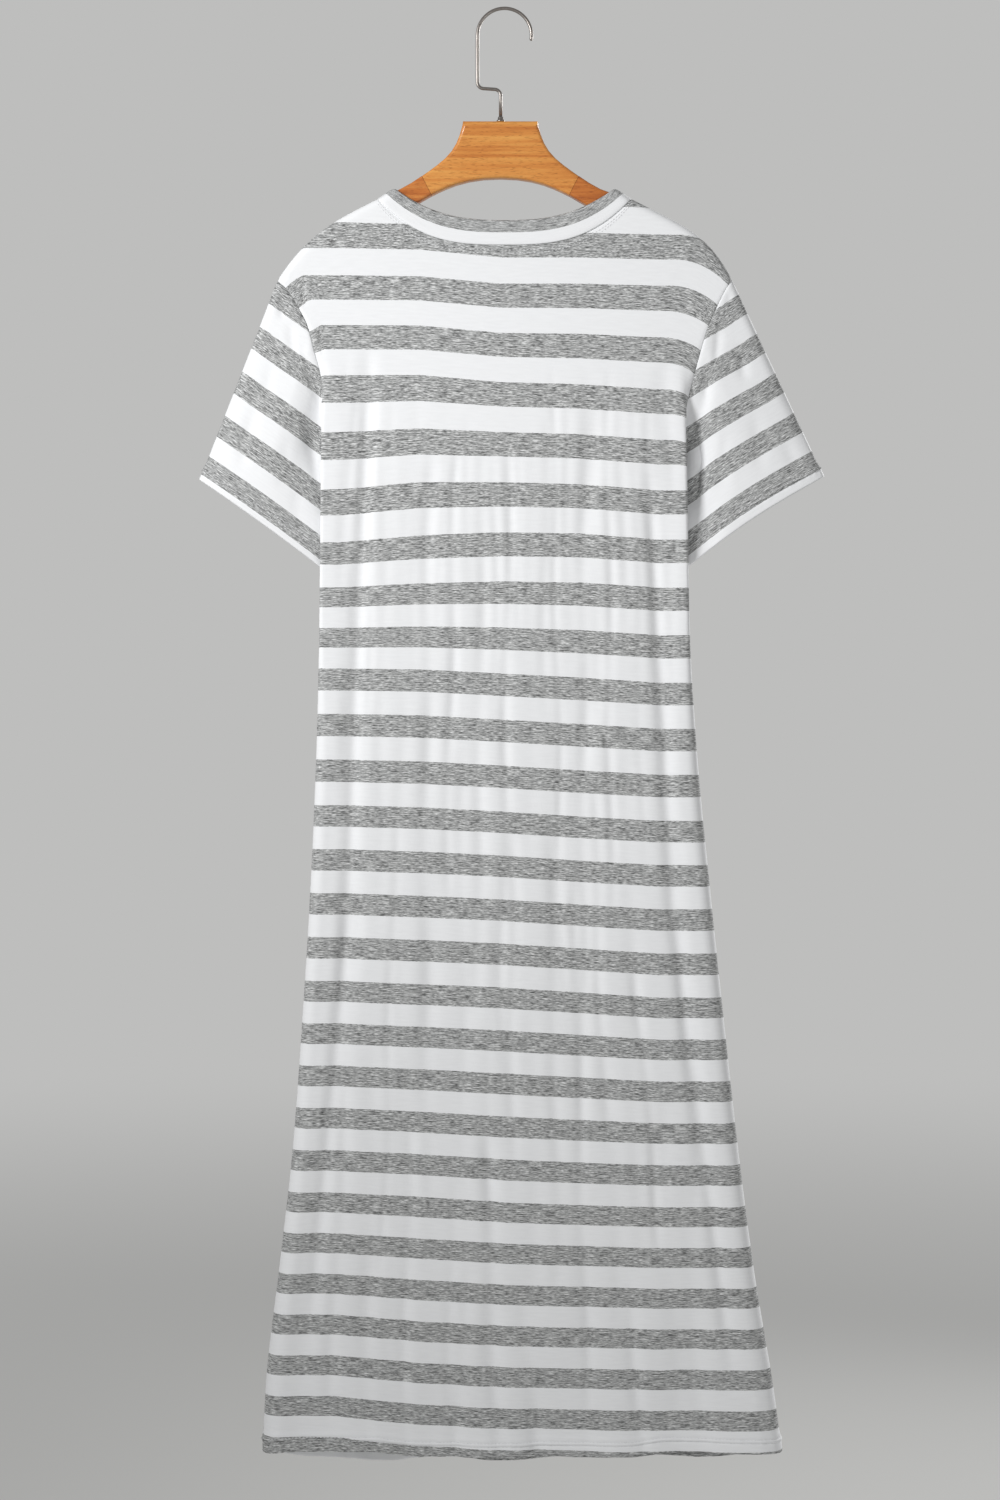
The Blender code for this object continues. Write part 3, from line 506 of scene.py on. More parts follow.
def panelForm(panel):
    # middle surface of a panel in millimetres: rows from the hem to the shoulder, columns across
    facing = 1.0 if panel == "back" else -1.0
    topX = columnPlaces(dress["shoulderTipHeight"], flatPlaces * dress["capStart"])
    inward = 1.0 - np.abs(topX) / dress["neckHalfWidth"]
    atNeck = inward > 0.0005
    neckline = neckCurve(topX, dress["neckHalfWidth"], dress["neckPointHeight"], dress["neck"][panel])
    tops = np.where(atNeck, neckline, ridgeHeight(topX))
    share = np.where(atNeck, (1.0 - np.maximum(inward, 0.0)) ** 6, 1.0)

    hem, underarm, flatRow = dress["hemHeight"], dress["underarmHeight"], dress["flatRowHeight"]
    lower = np.linspace(hem + hemRows[-1], underarm, skirtRows + 1)[1:]
    upper = np.linspace(underarm, flatRow, chestRows + 1)[1:]
    heights = [hem + s for s in hemRows] + list(lower) + list(upper)
    levels = [np.full(columnCount, height) for height in heights]
    ridgeRows = (14.0, 11.5, 9.2, 7.2, 5.4, 4.0, 2.8, 1.8, 1.0, 0.5, 0.15, 0.0)
    neckRows = (16.0, 13.6, 11.4, 9.4, 8.0, 6.5, 5.0, 3.6, 2.4, 1.4, 0.6, 0.0)
    lowest = ridgeRows[0] * share + neckRows[0] * (1.0 - share)
    for part in np.linspace(0.0, 1.0, yokeRows + 1)[1:-1]:
        levels.append(flatRow + (tops - lowest - flatRow) * part)
    for ridge, neck in zip(ridgeRows, neckRows):
        levels.append(tops - ridge * share - neck * (1.0 - share))
    levels = np.array(levels)
    hemX = columnPlaces(hem, acrossFlat(*(sideAt(s, pathCount, hem)[0] for s in (-1, 1))))
    drop = np.array([smoothValue(hemDrop, panel, x) for x in hemX])
    outside = np.minimum(np.arange(columnCount), np.arange(columnCount)[::-1])
    drop = drop * np.minimum(outside / (pathCount - 2.0), 1.0)
    aboveHem = levels - hem - hemDrop["stiff"]
    levels = levels - drop * clamp(1.0 - aboveHem / hemDrop["fade"])

    x = np.zeros(levels.shape)
    y = np.zeros(levels.shape)
    for i in range(pathCount):
        x[:, i], y[:, i] = sideAt(-1, i, levels[:, i])
        x[:, -1 - i], y[:, -1 - i] = sideAt(1, i, levels[:, -1 - i])
    flat = levels[:, flatColumns]
    leftX, leftY = sideAt(-1, pathCount, flat)
    rightX = sideAt(1, pathCount, flat)[0]
    x[:, flatColumns] = acrossFlat(leftX, rightX)
    y[:, flatColumns] = leftY
    slope = ridgeHeight(x + 0.5) - ridgeHeight(x - 0.5)
    below = (ridgeHeight(x) - levels) / np.hypot(1.0, slope)
    part = clamp(below / dress["ridgeDepth"])
    power = dress["ridgePower"]
    roundness = (1.0 - (1.0 - part) ** power) ** (1.0 / power)
    y = np.where(levels > flatRow, y * roundness, y)
    inwards = troughDepth(panel, x[:, flatColumns], flat)
    y[:, flatColumns] += inwards * clamp((tops[flatColumns] - flat) / topFade)
    return np.stack([x, facing * y, levels], axis=2)


def armholeLoop(back, front, side):
    # armhole seam: down the back from the shoulder tip, up the front again
    heights = back[:, 0, 2]
    first = int(np.argmin(np.abs(heights - dress["underarmHeight"])))
    column = 0 if side < 0 else -1
    return np.concatenate([back[first:, column][::-1], front[first:, column][1:-1]])


def sleeveForms(back, front, shape, places):
    # middle surface of a sleeve at the given places along it (0 armhole, 1 cuff), per column
    form = sleeveForm
    side = shape["side"]
    loop = armholeLoop(back, front, side)
    count = len(loop)
    half = count // 2
    parts = pathLength(loop[:half + 1])
    parts = parts / parts[-1]
    outer, inner = (np.array([side * x, 0.0, z]) for x, z in (shape["outer"], shape["inner"]))
    tip, underarm = loop[0], loop[half]
    lift = np.array([-side * form["lift"][0], 0.0, form["lift"][1]])
    columns, lengths = [], []
    for index in range(count):
        part = parts[index if index <= half else count - index]
        facing = -1.0 if index <= half else 1.0
        start = loop[index]
        swell = form["cuffDepth"] * (1.0 - abs(2.0 * part - 1.0) ** form["cuffPower"]) ** 0.5
        end = outer + (inner - outer) * part + np.array([0.0, facing * swell, 0.0])
        end = end + lift * shape["arch"] * math.sin(math.pi * part)
        fall = (outer - tip) * (1.0 - part) + (inner - underarm) * part
        fall = fall / np.linalg.norm(fall)
        turn = smoothValue(sideFold, "turnLeft" if side < 0 else "turnRight", start[2])
        nearTip = min((start[2] - dress["underarmHeight"]) / form["rootRise"], 1.0)
        turn = math.radians(min(turn, 90.0)) * nearTip
        share = min(turn / math.radians(90.0) + 1.0 - nearTip, 1.0)
        room = max((abs(start[1]) - form["rootClearance"]) / form["rootReach"], form["rootHandle"])
        root = np.array([side * math.cos(turn) * form["underarmHandle"],
                         -facing * math.sin(turn) * room, 0.0])
        handle = root * share + fall * form["capHandle"] * (1.0 - share)
        t = places[:, index][:, None]
        columns.append((1.0 - t) ** 3 * start + 3.0 * t * (1.0 - t) ** 2 * (start + handle)
                       + 3.0 * t * t * (1.0 - t) * (end - fall * form["cuffHandle"]) + t ** 3 * end)
        lengths.append(np.linalg.norm(end - start))
    return np.stack(columns, axis=1), np.array(lengths)


def stripeIndex(points):
    # which stripe a point of the body lies on: whole numbers are where a stripe turns grey
    x = points[..., 0]
    z = points[..., 2]
    keys = [row[0] for row in armholeBend["rows"]]
    leftFrom, leftSlope, rightFrom, rightCurve = (
        np.interp(z, keys, [row[k] for row in armholeBend["rows"]]) for k in range(1, 5))
    z = z + leftSlope * np.maximum(-x - leftFrom, 0.0)
    z = z + rightCurve * np.maximum(x - rightFrom, 0.0) ** 2
    rows = stripes["rows"]
    levels = np.stack([np.interp(x, stripes["places"], row[1:]) for row in rows], axis=-1)
    keys = np.array([row[0] for row in rows], float)
    result = np.zeros(x.shape)
    for i in range(len(keys) - 1):
        upper, lower = levels[..., i], levels[..., i + 1]
        part = (upper - z) / (upper - lower)
        value = keys[i] + (keys[i + 1] - keys[i]) * part
        first, last = i == 0, i == len(keys) - 2
        inside = ((part >= 0.0) | first) & ((part < 1.0) | last)
        result = np.where(inside, value, result)
    return result


def clothPiece(name, points, across, along, closed, outwards=True):
    # one sheet of jersey from a grid: across and along are its flat-cut places in millimetres
    rows, columns = points.shape[:2]
    segments = columns if closed else columns - 1
    mesh = bmesh.new()
    bmesh.ops.create_grid(mesh, x_segments=segments, y_segments=rows - 1, size=1.0)
    layer = mesh.loops.layers.uv.new("cloth")
    place = {}
    for vertex in mesh.verts:
        column = round((vertex.co.x + 1.0) * 0.5 * segments)
        row = round((vertex.co.y + 1.0) * 0.5 * (rows - 1))
        place[vertex] = (row, column)
    for vertex, (row, column) in place.items():
        vertex.co = Vector(points[row, column % columns] * mm)
    wrap = across[:, -1] + (across[:, -1] - across[:, -2])
    for face in mesh.faces:
        for loop in face.loops:
            row, column = place[loop.vert]
            u = across[row, column] if column < columns else wrap[row]
            v = along[row, column % columns]
            loop[layer].uv = (u * mm, v * mm)
    if closed:
        bmesh.ops.remove_doubles(mesh, verts=mesh.verts, dist=1e-7)
    if not outwards:
        bmesh.ops.reverse_faces(mesh, faces=mesh.faces)
    piece = makePiece("jersey_" + name, mesh, jersey)
    shell = piece.modifiers.new("jersey thickness", "SOLIDIFY")
    shell.thickness = dress["jersey"] * mm
    shell.offset = 0.0
    shell.use_rim = True
    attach(piece, "root")
    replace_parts(piece, name)
    return piece


def fromMiddle(points):
    # distance along each row from its middle
    length = pathLength(points, 1)
    return length - length[:, length.shape[1] // 2][:, None]


def jerseyMaterial():
    # viscose jersey, knitted in stripes of bleached white and heather grey yarn: soft and matt,
    # with a faint sheen
    material = newMaterial("viscose jersey, heather stripes")
    cloth = (addNode(material, "UVMap", {"uv_map": "cloth"}), "UV")
    axes = addNode(material, "SeparateXYZ", Vector=cloth)
    # knit courses make each stripe's edge a little uneven, about 0.4 mm
    edge = addNoise(material, cloth, (420.0, 900.0, 1.0), 1.0)
    ragged = addMath(material, "MULTIPLY_ADD", (edge, "Fac"), 0.016, -0.008)
    perMetre = 1.0 / (stripes["period"] * mm)
    index = addMath(material, "MULTIPLY_ADD", (axes, "Y"), perMetre, (ragged, "Value"))
    share = addMath(material, "FRACT", (index, "Value"))
    grey = addMath(material, "LESS_THAN", (share, "Value"), stripes["greyShare"])
    # heather yarn: dark and pale fibres drawn out along the courses, 4 to 13 mm long; 0.5 to
    # 0.8 mm thick, coarser than real ones, so that they show
    longFibres = addNoise(material, cloth, (78.0, 1250.0, 1.0), 3.0, 0.6)
    shortFibres = addNoise(material, cloth, (240.0, 2200.0, 1.0), 2.0)
    yarn = addMath(material, "MULTIPLY_ADD", (shortFibres, "Fac"), 0.9, (longFibres, "Fac"))
    fibres = addMath(material, "MULTIPLY", (yarn, "Value"), 0.7)
    heather = addRamp(material, (fibres, "Value"), (0.53, "#525353"), (0.61, "#868787"),
                      (0.69, "#B0B1B1"), (0.79, "#E6E7E7"))
    # the white yarn varies by a shade, so it doesn't look printed
    yarnShade = addNoise(material, cloth, (60.0, 500.0, 1.0), 2.0)
    white = addRamp(material, (yarnShade, "Fac"), (0.3, "#F1F2F4"), (0.7, "#F5F6F8"))
    colour = addNode(material, "Mix", {"data_type": "RGBA"}, _0=(grey, "Value"),
                     _6=(white, "Color"), _7=(heather, "Color"))
    # wales of the knit, 0.7 mm apart, drawn at 1.6 mm so that they show
    wales = addNoise(material, cloth, (620.0, 420.0, 1.0), 1.0)
    bump = addNode(material, "Bump", Strength=0.2, Distance=0.0002, Height=(wales, "Fac"))
    return finishMaterial(material, Base_Color=(colour, 2), Normal=(bump, "Normal"), Roughness=0.78,
                          IOR=1.46, Specular_IOR_Level=0.35, Sheen_Weight=0.18, Sheen_Roughness=0.45)


def objectNoise(material, scale, detail):
    place = addNode(material, "TexCoord")
    return addNode(material, "TexNoise", Vector=(place, "Object"), Scale=scale, Detail=detail)


def threadMaterial():
    # spun polyester sewing thread, white, slightly glossy
    material = newMaterial("polyester thread")
    noise = objectNoise(material, 1800.0, 1.0)
    tone = addRamp(material, (noise, "Fac"), (0.3, "#D9DADD"), (0.7, "#F1F2F4"))
    return finishMaterial(material, Base_Color=(tone, "Color"), Roughness=0.55)


def beechMaterial(name, dark, middle, pale):
    # lacquered beech: fine pores and long grain lines along the piece, under a satin coat
    material = newMaterial(name)
    place = (addNode(material, "TexCoord"), "Object")
    grainPlace = addNode(material, "Mapping", Vector=place, Scale=(9.0, 60.0, 210.0))
    warp = addNode(material, "TexNoise", Vector=place, Scale=14.0, Detail=2.0)
    bent = addNode(material, "Mix", {"data_type": "VECTOR"}, _0=0.05,
                   _4=(grainPlace, "Vector"), _5=(warp, "Color"))
    grain = addNode(material, "TexNoise", Vector=(bent, 1), Scale=1.0, Detail=4.0, Roughness=0.6)
    tone = addRamp(material, (grain, "Fac"), (0.3, dark), (0.5, middle), (0.72, pale))
    pores = addNoise(material, place, (160.0, 900.0, 1500.0), 1.0)
    fleck = addRamp(material, (pores, "Fac"), (0.32, "#B9A58E"), (0.42, "#FFFFFF"))
    mixed = addNode(material, "Mix", {"data_type": "RGBA", "blend_type": "MULTIPLY"}, _0=0.6,
                    _6=(tone, "Color"), _7=(fleck, "Color"))
    bump = addNode(material, "Bump", Strength=0.15, Distance=0.0001, Height=(grain, "Fac"))
    return finishMaterial(material, Base_Color=(mixed, 2), Normal=(bump, "Normal"), Roughness=0.38,
                          Coat_Weight=0.35, Coat_Roughness=0.2)


def steelMaterial():
    # drawn steel wire, bright zinc plated: smooth metal with faint drawing marks
    material = newMaterial("drawn steel wire")
    noise = objectNoise(material, 900.0, 2.0)
    tone = addRamp(material, (noise, "Fac"), (0.3, "#948D88"), (0.7, "#A8A29D"))
    rough = addNode(material, "MapRange", Value=(noise, "Fac"), _3=0.3, _4=0.38)
    return finishMaterial(material, Base_Color=(tone, "Color"), Roughness=(rough, "Result"),
                          Metallic=1.0)


jersey = jerseyMaterial()
thread = threadMaterial()
paleBeech = beechMaterial("lacquered beech, middle piece", "#C4742E", "#DB8F42", "#E8A655")
darkBeech = beechMaterial("lacquered beech, arms", "#A9581F", "#C6732F", "#D68A43")
steel = steelMaterial()
print("materials made")

layerGap = 1.0  # middle of the turned-up layer inside the middle of the outer one
beyondHem = 60.0  # rows above the hem's count as this far from its fold
hemShape = {
    "stitchWidth": 0.8, "stitchDepth": 0.62, "ridgeAt": 11.3, "ridgeWidth": 1.2, "ridgeHeight": 1.1,
    "puckerWidth": 5.0, "puckerDepth": 0.3, "step": 0.7, "stepAt": 17.6, "stepWidth": 0.5,
}
grooveDepth, grooveWidth = 0.75, 2.2
panelFade, sleeveFade = 12.0, 10.0  # creases fade in over this length from a seam
panelFoldDrop = 0.3
neckStitchRows = (-8, -6)  # the panels' rows, counted down from the neckline
hemStitchInset = 4  # columns of the seam's turned edge that the hem's stitches cover
sleeveRows = 41
threadLift = 0.1
stitchLines = []
panels = {panel: panelForm(panel) for panel in ("back", "front")}


def sewLine(name, points, normals, closed=False):
    stitchLines.append((name, points + normals * (0.5 * dress["jersey"] + threadLift), closed))


def seamGroove(distance):
    # cloth dips where two pieces are sewn together
    return grooveDepth * np.exp(-(distance / grooveWidth) ** 2)


def hemRelief(fromFold, along):
    # twin stitching draws the two layers in and leaves a soft ridge between its rows; beside it
    # they pucker, and the allowance ends in a step
    form = hemShape
    fromRidge = fromFold - form["ridgeAt"]
    sewn = sum(np.exp(-((fromFold - row) / form["stitchWidth"]) ** 2) for row in hemStitches)
    near = np.exp(-(fromRidge / form["puckerWidth"]) ** 2)
    pucker = np.sin(along * 0.71 + 1.3 * np.sin(along * 0.19)) + 0.6 * np.sin(along * 1.13 + 2.0)
    ridge = np.exp(-(fromRidge / form["ridgeWidth"]) ** 2) * (1.0 + 0.35 * np.sin(along * 0.045 + 0.8))
    doubled = form["step"] / (1.0 + np.exp((fromFold - form["stepAt"]) / form["stepWidth"]))
    return (form["stitchDepth"] * sewn + form["puckerDepth"] * near * pucker
            - form["ridgeHeight"] * ridge - doubled)


def reliefSurface(name, base, normals, hemPlaces, edge, fadeLength):
    # the form with its creases, seam grooves and sewn hem
    depth = creaseDepth(name, base[..., 0], base[..., 2]) * np.abs(normals[..., 1]) ** 2
    fromFold = np.array(hemPlaces + (beyondHem,) * (len(base) - len(hemPlaces)))[:, None]
    relief = (depth * clamp(edge / fadeLength) + seamGroove(edge)
              + hemRelief(fromFold, fromMiddle(base)))
    return base - normals * relief[..., None]


def turnedUp(surface, normals, stripe, hemPlaces, foldDrop=0.0):
    # points and stripes with the allowance added, turned up inside and folded at the hem
    turned = [(hemPlaces.index(s), share) for s, share in hemFold]
    rows = np.array([surface[r] - normals[r] * layerGap * share for r, share in turned])
    rows[-2, :, 2] -= foldDrop
    below = np.array([stripe[0] + hemPlaces[r] / stripes["hemPitch"] for r, share in turned])
    return np.concatenate([rows, surface[2:]]), np.concatenate([below, stripe[2:]])


def finishPanel(panel):
    base = panels[panel]
    outward = 1.0 if panel == "back" else -1.0
    normals = gridNormals(base, False, (60, columnCount // 2), (0.0, -outward, 0.0))
    # distance to the neckline, shoulder and armhole edges
    toLeft = pathLength(base, 1)
    toSide = np.minimum(toLeft, toLeft[:, -1][:, None] - toLeft)
    edge = np.minimum(pathLength(base[::-1])[::-1], toSide)
    surface = reliefSurface(panel, base, normals, hemRows, edge, panelFade)
    stripe = stripeIndex(base)
    if panel == "front":
        stripe[:, flatColumns] -= stripes["frontSag"] * (1.0 - flatPlaces ** 4)
    points, stripe = turnedUp(surface, normals, stripe, hemRows, foldDrop=panelFoldDrop)
    piece = clothPiece(panel, points, fromMiddle(points), stripe * stripes["period"], False)
    first = pathCount - hemStitchInset
    line = slice(first, columnCount - first)
    for row in (hemRows.index(s) for s in hemStitches):
        sewLine("hem", surface[row][line], normals[row][line])
    for row in neckStitchRows:
        sewLine("neck", surface[row][neckColumns], normals[row][neckColumns])
    print(panel, "made,", points.shape[0], "rows of", points.shape[1])
    return piece


def finishSleeve(name):
    shape = sleeves[name]
    side = shape["side"]
    count = len(armholeLoop(panels["back"], panels["front"], side))
    lengths = sleeveForms(panels["back"], panels["front"], shape, np.zeros((1, count)))[1]
    fromCuff = hemRows[:-1]
    near = [1.0 - s / lengths for s in fromCuff]
    far = [(1.0 - fromCuff[-1] / lengths) * (1.0 - t)
           for t in np.linspace(0.0, 1.0, sleeveRows + 1)[1:]]
    base = sleeveForms(panels["back"], panels["front"], shape, np.array(near + far))[0]
    spot = (5, count // 4)
    normals = gridNormals(base, True, spot, base[spot] - base[5].mean(axis=0))
    toRoot = pathLength(base[::-1])[::-1]
    surface = reliefSurface(name, base, normals, fromCuff, toRoot, sleeveFade)
    # stripes run side by side with the cuff, measured square to it
    outer, inner = (np.array([side * x, z]) for x, z in (shape["outer"], shape["inner"]))
    width = np.linalg.norm(inner - outer)
    along = (inner - outer) / width
    square = np.array([along[1], -along[0]]) * side
    square = square if square[1] > 0.0 else -square
    flat = base[..., [0, 2]] - outer
    part = clamp(flat @ along / width)
    distance = flat @ square - shape["arch"] * np.sin(math.pi * part)
    starts = np.array(shape["stripes"])
    stripe = -np.interp(distance, starts, np.arange(len(starts)))
    stripe = np.where(distance < starts[0], (starts[0] - distance) / stripes["sleevePitch"], stripe)
    stripe = stripe - (1.0 - stripes["greyShare"])
    points, stripe = turnedUp(surface, normals, stripe, fromCuff)
    piece = clothPiece(name, points, pathLength(points, 1), stripe * stripes["period"], True, side > 0)
    for row in (fromCuff.index(s) for s in hemStitches):
        sewLine("cuff", surface[row], normals[row], closed=True)
    print(name, "made")
    return piece


band = {
    "parts": (0.0, 0.04, 0.1, 0.2, 0.32, 0.45, 0.6, 0.75, 0.88, 0.96, 1.0),  # seam to fold
    "outer": (0.1, 0.5, 0.75, 0.85, 0.85, 0.85, 0.85, 0.85, 0.85, 0.7, 0.28),  # thickness outwards
    "inner": 0.3, "innerAtFold": 0.1, "lean": 0.04, "stripe": (0.03, 0.96),
}


def finishBand():
    # neckband: a strip folded double, sewn round the neckline, its fold upwards
    back, front = panels["back"][-1], panels["front"][-1]
    seam = np.concatenate([back[neckColumns], front[neckColumns[1:-1]][::-1]])
    count = len(seam)
    atBack = np.arange(count) < len(neckColumns)
    x = seam[:, 0] * dress["bandEdgeHalfWidth"] / dress["neckHalfWidth"]
    edges = [neckCurve(x, dress["bandEdgeHalfWidth"], dress["bandEdgeHeight"], dress["bandEdge"][p])
             for p in ("back", "front")]
    z = np.where(atBack, *edges)
    parts = band["parts"]
    base = np.array([np.stack([seam[:, 0] + (x - seam[:, 0]) * part,
                               seam[:, 1] * (1.0 - band["lean"] * part),
                               seam[:, 2] + (z - seam[:, 2]) * part], axis=1) for part in parts])
    normals = gridNormals(base, True, (5, len(neckColumns) // 2), (0.0, -1.0, 0.0))
    outer = [base[i] + normals[i] * out for i, out in enumerate(band["outer"])]
    inner = [base[i] - normals[i] * (band["inner"] if part < 0.96 else band["innerAtFold"])
             for i, part in enumerate(parts)][-2::-1]
    top = outer[-1] + (base[-1] - base[-2]) * 0.3
    points = np.array(outer[:-1] + [top] + inner)
    low, high = band["stripe"]
    stripe = [low + (1.0 - part) * (high - low) for part in parts]
    stripe = np.array(stripe + stripe[-2::-1])
    along = np.repeat(stripe[:, None] * stripes["period"], count, axis=1)
    piece = clothPiece("neckband", points, pathLength(points, 1), along, True)
    print("neckband made")
    return piece


clothPieces = {panel: finishPanel(panel) for panel in ("back", "front")}
for name in sleeves:
    clothPieces[name] = finishSleeve(name)
clothPieces["neckband"] = finishBand()

# coverstitch: short thread dashes sunk in the cloth, in millimetres
stitch = {"pitch": 3.4, "length": 2.5, "radius": 0.3}


def stitchPiece(kind):
    mesh = bmesh.new()
    for name, points, closed in stitchLines:
        if name != kind:
            continue
        if closed:
            points = np.concatenate([points, points[:1]])
        length = pathLength(points)
        total = length[-1]
        number = int(total / stitch["pitch"])
        for i in range(number):
            ends = [(i + 0.5) * total / number + s * stitch["length"] * 0.5 for s in (-1, 1)]
            a, b = [Vector([np.interp(e, length, points[:, k]) for k in range(3)]) * mm for e in ends]
            if (b - a).length < 0.5 * stitch["length"] * mm:
                continue
            turn = (b - a).to_track_quat("X", "Z").to_matrix().to_4x4()
            thick = stitch["radius"] * mm
            size = Matrix.Diagonal(((b - a).length * 0.5, thick, thick, 1.0))
            bmesh.ops.create_icosphere(mesh, subdivisions=1, radius=1.0,
                                       matrix=Matrix.Translation((a + b) * 0.5) @ turn @ size)
    piece = makePiece("coverstitch_" + kind, mesh, thread)
    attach(piece, "root")
    return piece


stitches = {kind: stitchPiece(kind) for kind in ("hem", "neck", "cuff")}
print("stitches made:", sum(len(p.data.polygons) for p in stitches.values()), "faces")

hanger = {
    "centreX": -4.0, "thickness": 14.0, "rounding": 3.0, "roundingSteps": 4, "seat": 1.4,
    "topHeight": -108.0, "topHalfWidth": 35.8,
    "flank": ((36.6, -112.5), (38.9, -120.6), (42.2, -129.0), (46.8, -136.6), (53.0, -143.5),
              (60.2, -149.6), (68.0, -155.4)),
    "jointTop": (75.6, -160.6), "jointBottom": (66.2, -179.0), "jointGap": 0.15,
    "arch": ((60.0, -175.9), (52.0, -172.3), (42.0, -168.5), (30.0, -165.3), (16.0, -163.2),
             (0.0, -162.5)),
    "armTop": ((85.0, -166.9), (96.0, -173.0)), "armBottom": ((80.0, -187.0), (94.0, -196.0)),
    "armStart": 120.0, "armEnd": 184.0, "armTipSlope": 4.0, "armHeights": (25.0, 17.0),
    "armSteps": 12,
}
hook = {"wire": 3.3, "radius": 26.0, "stemX": -3.7, "tipAngle": -8.0, "crankRadius": 6.0,
        "crankHeight": -75.6, "crankSlope": 4.0, "stemEnd": -102.4,
        "tipRings": (78.0, 55.0, 30.0)}  # degrees round the tip's end
collar = ((4.0, -107.7), (4.0, -106.6), (3.6, -106.2), (2.9, -105.8), (2.7, -104.0), (2.5, -103.0),
          (1.8, -102.7))  # radius and height


def woodPlate(name, outline, joints, material, node):
    # a plate with rounded edges, flush at its joints; outline runs clockwise seen from the back
    count = len(outline)
    points = [Vector(p) for p in outline]
    area = sum(points[i].x * points[(i + 1) % count].y - points[(i + 1) % count].x * points[i].y
               for i in range(count))
    inward = []
    for i, point in enumerate(points):
        heading = (points[(i + 1) % count] - points[i - 1]).normalized()
        normal = Vector((-heading.y, heading.x)) * (1.0 if area > 0.0 else -1.0)
        if i in joints:
            normal = (points[joints[i]] - point).normalized()
        inward.append(normal)
    half, rounding, steps = 0.5 * hanger["thickness"], hanger["rounding"], hanger["roundingSteps"]
    profile = [(rounding * (1.0 - math.sin(a)), -half + rounding * (1.0 - math.cos(a)))
               for a in (math.radians(90.0) * k / steps for k in range(steps + 1))]
    profile += [(d, -y) for d, y in reversed(profile)]
    mesh = bmesh.new()
    rings = []
    for depth, y in profile:
        ring = [mesh.verts.new(Vector((p.x + n.x * depth, y, p.y + n.y * depth)) * mm)
                for p, n in zip(points, inward)]
        rings.append(ring)
    closeRings(mesh, rings)
    for edge in mesh.edges:
        if len(edge.link_faces) == 2 and edge.calc_face_angle() > math.radians(32.0):
            edge.smooth = False
    piece = makePiece(name, mesh, material, flatCaps=True)
    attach(piece, "root")
    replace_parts(piece, node)
    return piece


def centreOutline():
    right = [(hanger["topHalfWidth"], hanger["topHeight"])] + list(hanger["flank"])
    joint = len(right)
    right += [(x - hanger["jointGap"], z) for x, z in (hanger["jointTop"], hanger["jointBottom"])]
    right += hanger["arch"]
    points = [(hanger["centreX"] + x, z) for x, z in right]
    points += [(hanger["centreX"] - x, z) for x, z in reversed(right[:-1])]
    last = len(points) - 1
    pairs = ((joint, joint + 1), (last - joint, last - joint - 1))
    return points, {**{a: b for a, b in pairs}, **{b: a for a, b in pairs}}


def armOutline(side):
    tops, bottoms = ([(hanger["centreX"] + side * (x + hanger["jointGap"]), z)
                      for x, z in (hanger["joint" + end],) + hanger["arm" + end]]
                     for end in ("Top", "Bottom"))
    start, end, slope = hanger["armStart"], hanger["armEnd"], hanger["armTipSlope"]
    first, last = hanger["armHeights"]
    for i in range(hanger["armSteps"] + 1):
        part = i / hanger["armSteps"]
        x = side * (start + (end - start) * part)
        tops.append((x, float(ridgeHeight(x)) - hanger["seat"]))
        x = side * (start + (end - slope - start) * part)
        height = first + (last - first) * part
        bottoms.append((x, float(ridgeHeight(x)) - hanger["seat"] - height))
    outline = tops + bottoms[::-1]
    return outline, {0: len(outline) - 1, len(outline) - 1: 0}


def arcPoints(x, z, radius, first, last, steps):
    angles = [math.radians(first + (last - first) * i / steps) for i in range(steps + 1)]
    return [(x + radius * math.cos(a), z + radius * math.sin(a)) for a in angles]


def hookLine():
    # tip, round bend over the rod, straight back, crank and stem
    turn = 90.0 - hook["crankSlope"]
    line = arcPoints(0.0, 0.5 * hook["wire"] - hook["radius"], hook["radius"],
                     hook["tipAngle"], 180.0, 44)
    left = hook["crankRadius"] - hook["radius"]
    line += arcPoints(left, hook["crankHeight"] + hook["crankRadius"], hook["crankRadius"],
                      180.0, 180.0 + turn, 8)
    right = hook["stemX"] - hook["crankRadius"]
    fall = (right - left) * math.tan(math.radians(hook["crankSlope"]))
    line += arcPoints(right, hook["crankHeight"] - hook["crankRadius"] - fall, hook["crankRadius"],
                      turn, 0.0, 8)
    line.append((hook["stemX"], hook["stemEnd"]))
    return line


def makeRound(name, stations, sides, flatCaps=False):
    # a round piece through stations of place, radius and the direction across
    mesh = bmesh.new()
    rings = []
    for place, radius, across in stations:
        ring = []
        for angle in (2.0 * math.pi * k / sides for k in range(sides)):
            flat = place + across * radius * math.cos(angle)
            ring.append(mesh.verts.new(Vector((flat.x, radius * math.sin(angle), flat.y)) * mm))
        rings.append(ring)
    closeRings(mesh, rings)
    piece = makePiece(name, mesh, steel, flatCaps)
    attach(piece, "root")
    return piece


def hookStations():
    # the free tip is rounded by smaller rings ahead of it
    line = [Vector(p) for p in hookLine()]
    radius = 0.5 * hook["wire"]
    first = (line[0] - line[1]).normalized()
    angles = [math.radians(d) for d in hook["tipRings"]]
    places = [line[0] + first * radius * math.sin(a) for a in angles] + line
    sizes = [radius * math.cos(a) for a in angles] + [radius] * len(line)
    stations = []
    for i, (place, size) in enumerate(zip(places, sizes)):
        heading = (places[min(i + 1, len(places) - 1)] - places[max(i - 1, 0)]).normalized()
        stations.append((place, size, Vector((-heading.y, heading.x))))
    return stations


wireHook = makeRound("wire_hook", hookStations(), 16)
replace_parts(wireHook, "hook")
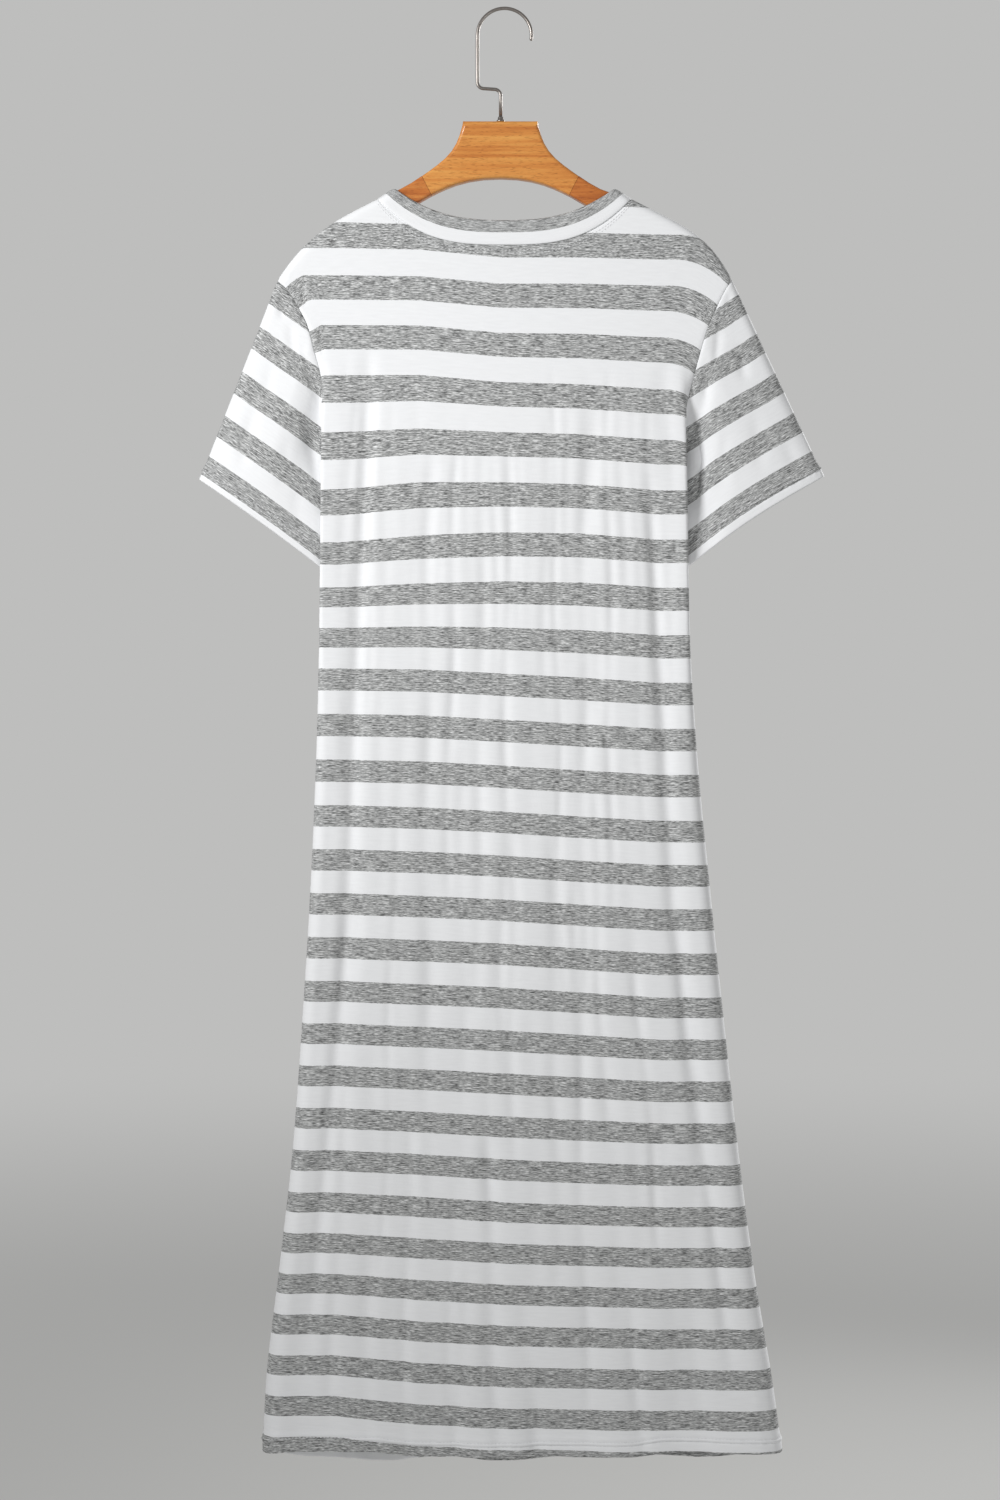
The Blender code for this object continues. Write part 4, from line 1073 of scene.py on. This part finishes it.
# small turned ferrule where the wire enters the wood
turned = [(Vector((hook["stemX"], height)), radius, Vector((1.0, 0.0))) for radius, height in collar]
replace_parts(makeRound("wire_ferrule", turned, 28, flatCaps=True), "hook_collar")
outline, joints = centreOutline()
woodPlate("beech_middle", outline, joints, paleBeech, "hanger_centre")
for side, name in ((-1, "left"), (1, "right")):
    outline, joints = armOutline(side)
    woodPlate("beech_arm_" + name, outline, joints, darkBeech, "hanger_arm_" + name)
print("hanger finished")

# glow is the strength of the floor's painted glow near the dress; it grows to full between fadeFrom and
# fadeTo
room = {"floorHeight": -1.75, "floorRadius": 60.0, "floor": "#D4D4D2", "air": "#BEBEBD",
        "fadeFrom": 1.0, "fadeTo": 7.0, "airLight": 0.62, "glow": 0.25}


def floorMaterial():
    # matt pale floor that melts into the pale air far away, so no edge shows behind the dress: it
    # carries a painted glow in the air's colour, weak near the dress and growing with distance, while
    # its own colour fades to black
    material = newMaterial("pale floor with painted glow")
    place = addNode(material, "TexCoord")
    away = addNode(material, "VectorMath", {"operation": "LENGTH"}, _0=(place, "Object"))
    fade = addNode(material, "MapRange", {"interpolation_type": "SMOOTHSTEP"},
                   Value=(away, "Value"), _1=room["fadeFrom"], _2=room["fadeTo"], _3=room["glow"])
    tone = addNode(material, "Mix", {"data_type": "RGBA"}, _0=(fade, "Result"),
                   _6=toLinear(room["floor"]), _7=toLinear("#000000"))
    # the emission is the floor's painted glow; it also lights the dress a little from below
    return finishMaterial(material, Base_Color=(tone, 2), Emission_Color=toLinear(room["air"]),
                          Emission_Strength=(fade, "Result"), Roughness=0.9, Specular_IOR_Level=0.0)


floorMesh = bmesh.new()
bmesh.ops.create_circle(floorMesh, cap_ends=True, segments=96, radius=room["floorRadius"],
                        matrix=Matrix.Translation((0.0, 0.0, room["floorHeight"])))
floor = makePiece("floor", floorMesh, floorMaterial(), flatCaps=True)


def softLight(name, place, target, size, power, spread=180.0):
    light = bpy.data.lights.new(name, "AREA")
    light.shape = "RECTANGLE"
    light.size, light.size_y = size
    light.energy = power
    light.spread = math.radians(spread)
    lamp = bpy.data.objects.new(name, light)
    lamp.location = place
    lamp.rotation_euler = (Vector(target) - Vector(place)).to_track_quat("-Z", "Y").to_euler()
    lamp.visible_camera = False
    bpy.context.scene.collection.objects.link(lamp)


softLight("key light, upper left", (-1.55, -1.45, 0.1), (0.0, 0.0, -0.42), (0.6, 0.9), 5.4, 66.0)
softLight("fill light, low right", (2.4, -3.4, -1.05), (0.0, 0.0, -1.0), (1.4, 0.7), 7.0, 130.0)
softLight("light on the other side", (1.9, 2.2, 0.25), (0.0, 0.0, -0.55), (1.0, 1.2), 26.0, 120.0)

world = bpy.data.worlds.new("pale room")
world.use_nodes = True
airBehind = world.node_tree.nodes["Background"]
airBehind.inputs["Color"].default_value = toLinear(room["air"])
# the air lights the dress less than it shows behind it, so the folds keep their shade
airLight = addNode(world, "Background", Color=toLinear(room["air"]), Strength=room["airLight"])
rays = addNode(world, "LightPath")
airMix = addNode(world, "MixShader", _0=(rays, "Is Camera Ray"),
                 _1=(airLight, "Background"), _2=(airBehind, "Background"))
setInputs(world, world.node_tree.nodes["World Output"], {"Surface": (airMix, 0)})
bpy.context.scene.world = world
bpy.context.scene.view_settings.view_transform = "Standard"

camera = bpy.data.cameras.new("camera")
camera.sensor_fit = "VERTICAL"
camera.sensor_width = camera.sensor_height = 36.0
cameraPlace = {"x": -0.0043, "y": -2.762, "height": -0.7122, "distance": 2.75, "tall": 1.4375}
camera.lens = camera.sensor_height * cameraPlace["distance"] / cameraPlace["tall"]
viewer = bpy.data.objects.new("camera", camera)
viewer.location = (cameraPlace["x"], cameraPlace["y"], cameraPlace["height"])
viewer.rotation_euler = (math.radians(90.0), 0.0, 0.0)
bpy.context.scene.collection.objects.link(viewer)
bpy.context.scene.camera = viewer

bpy.context.view_layer.update()
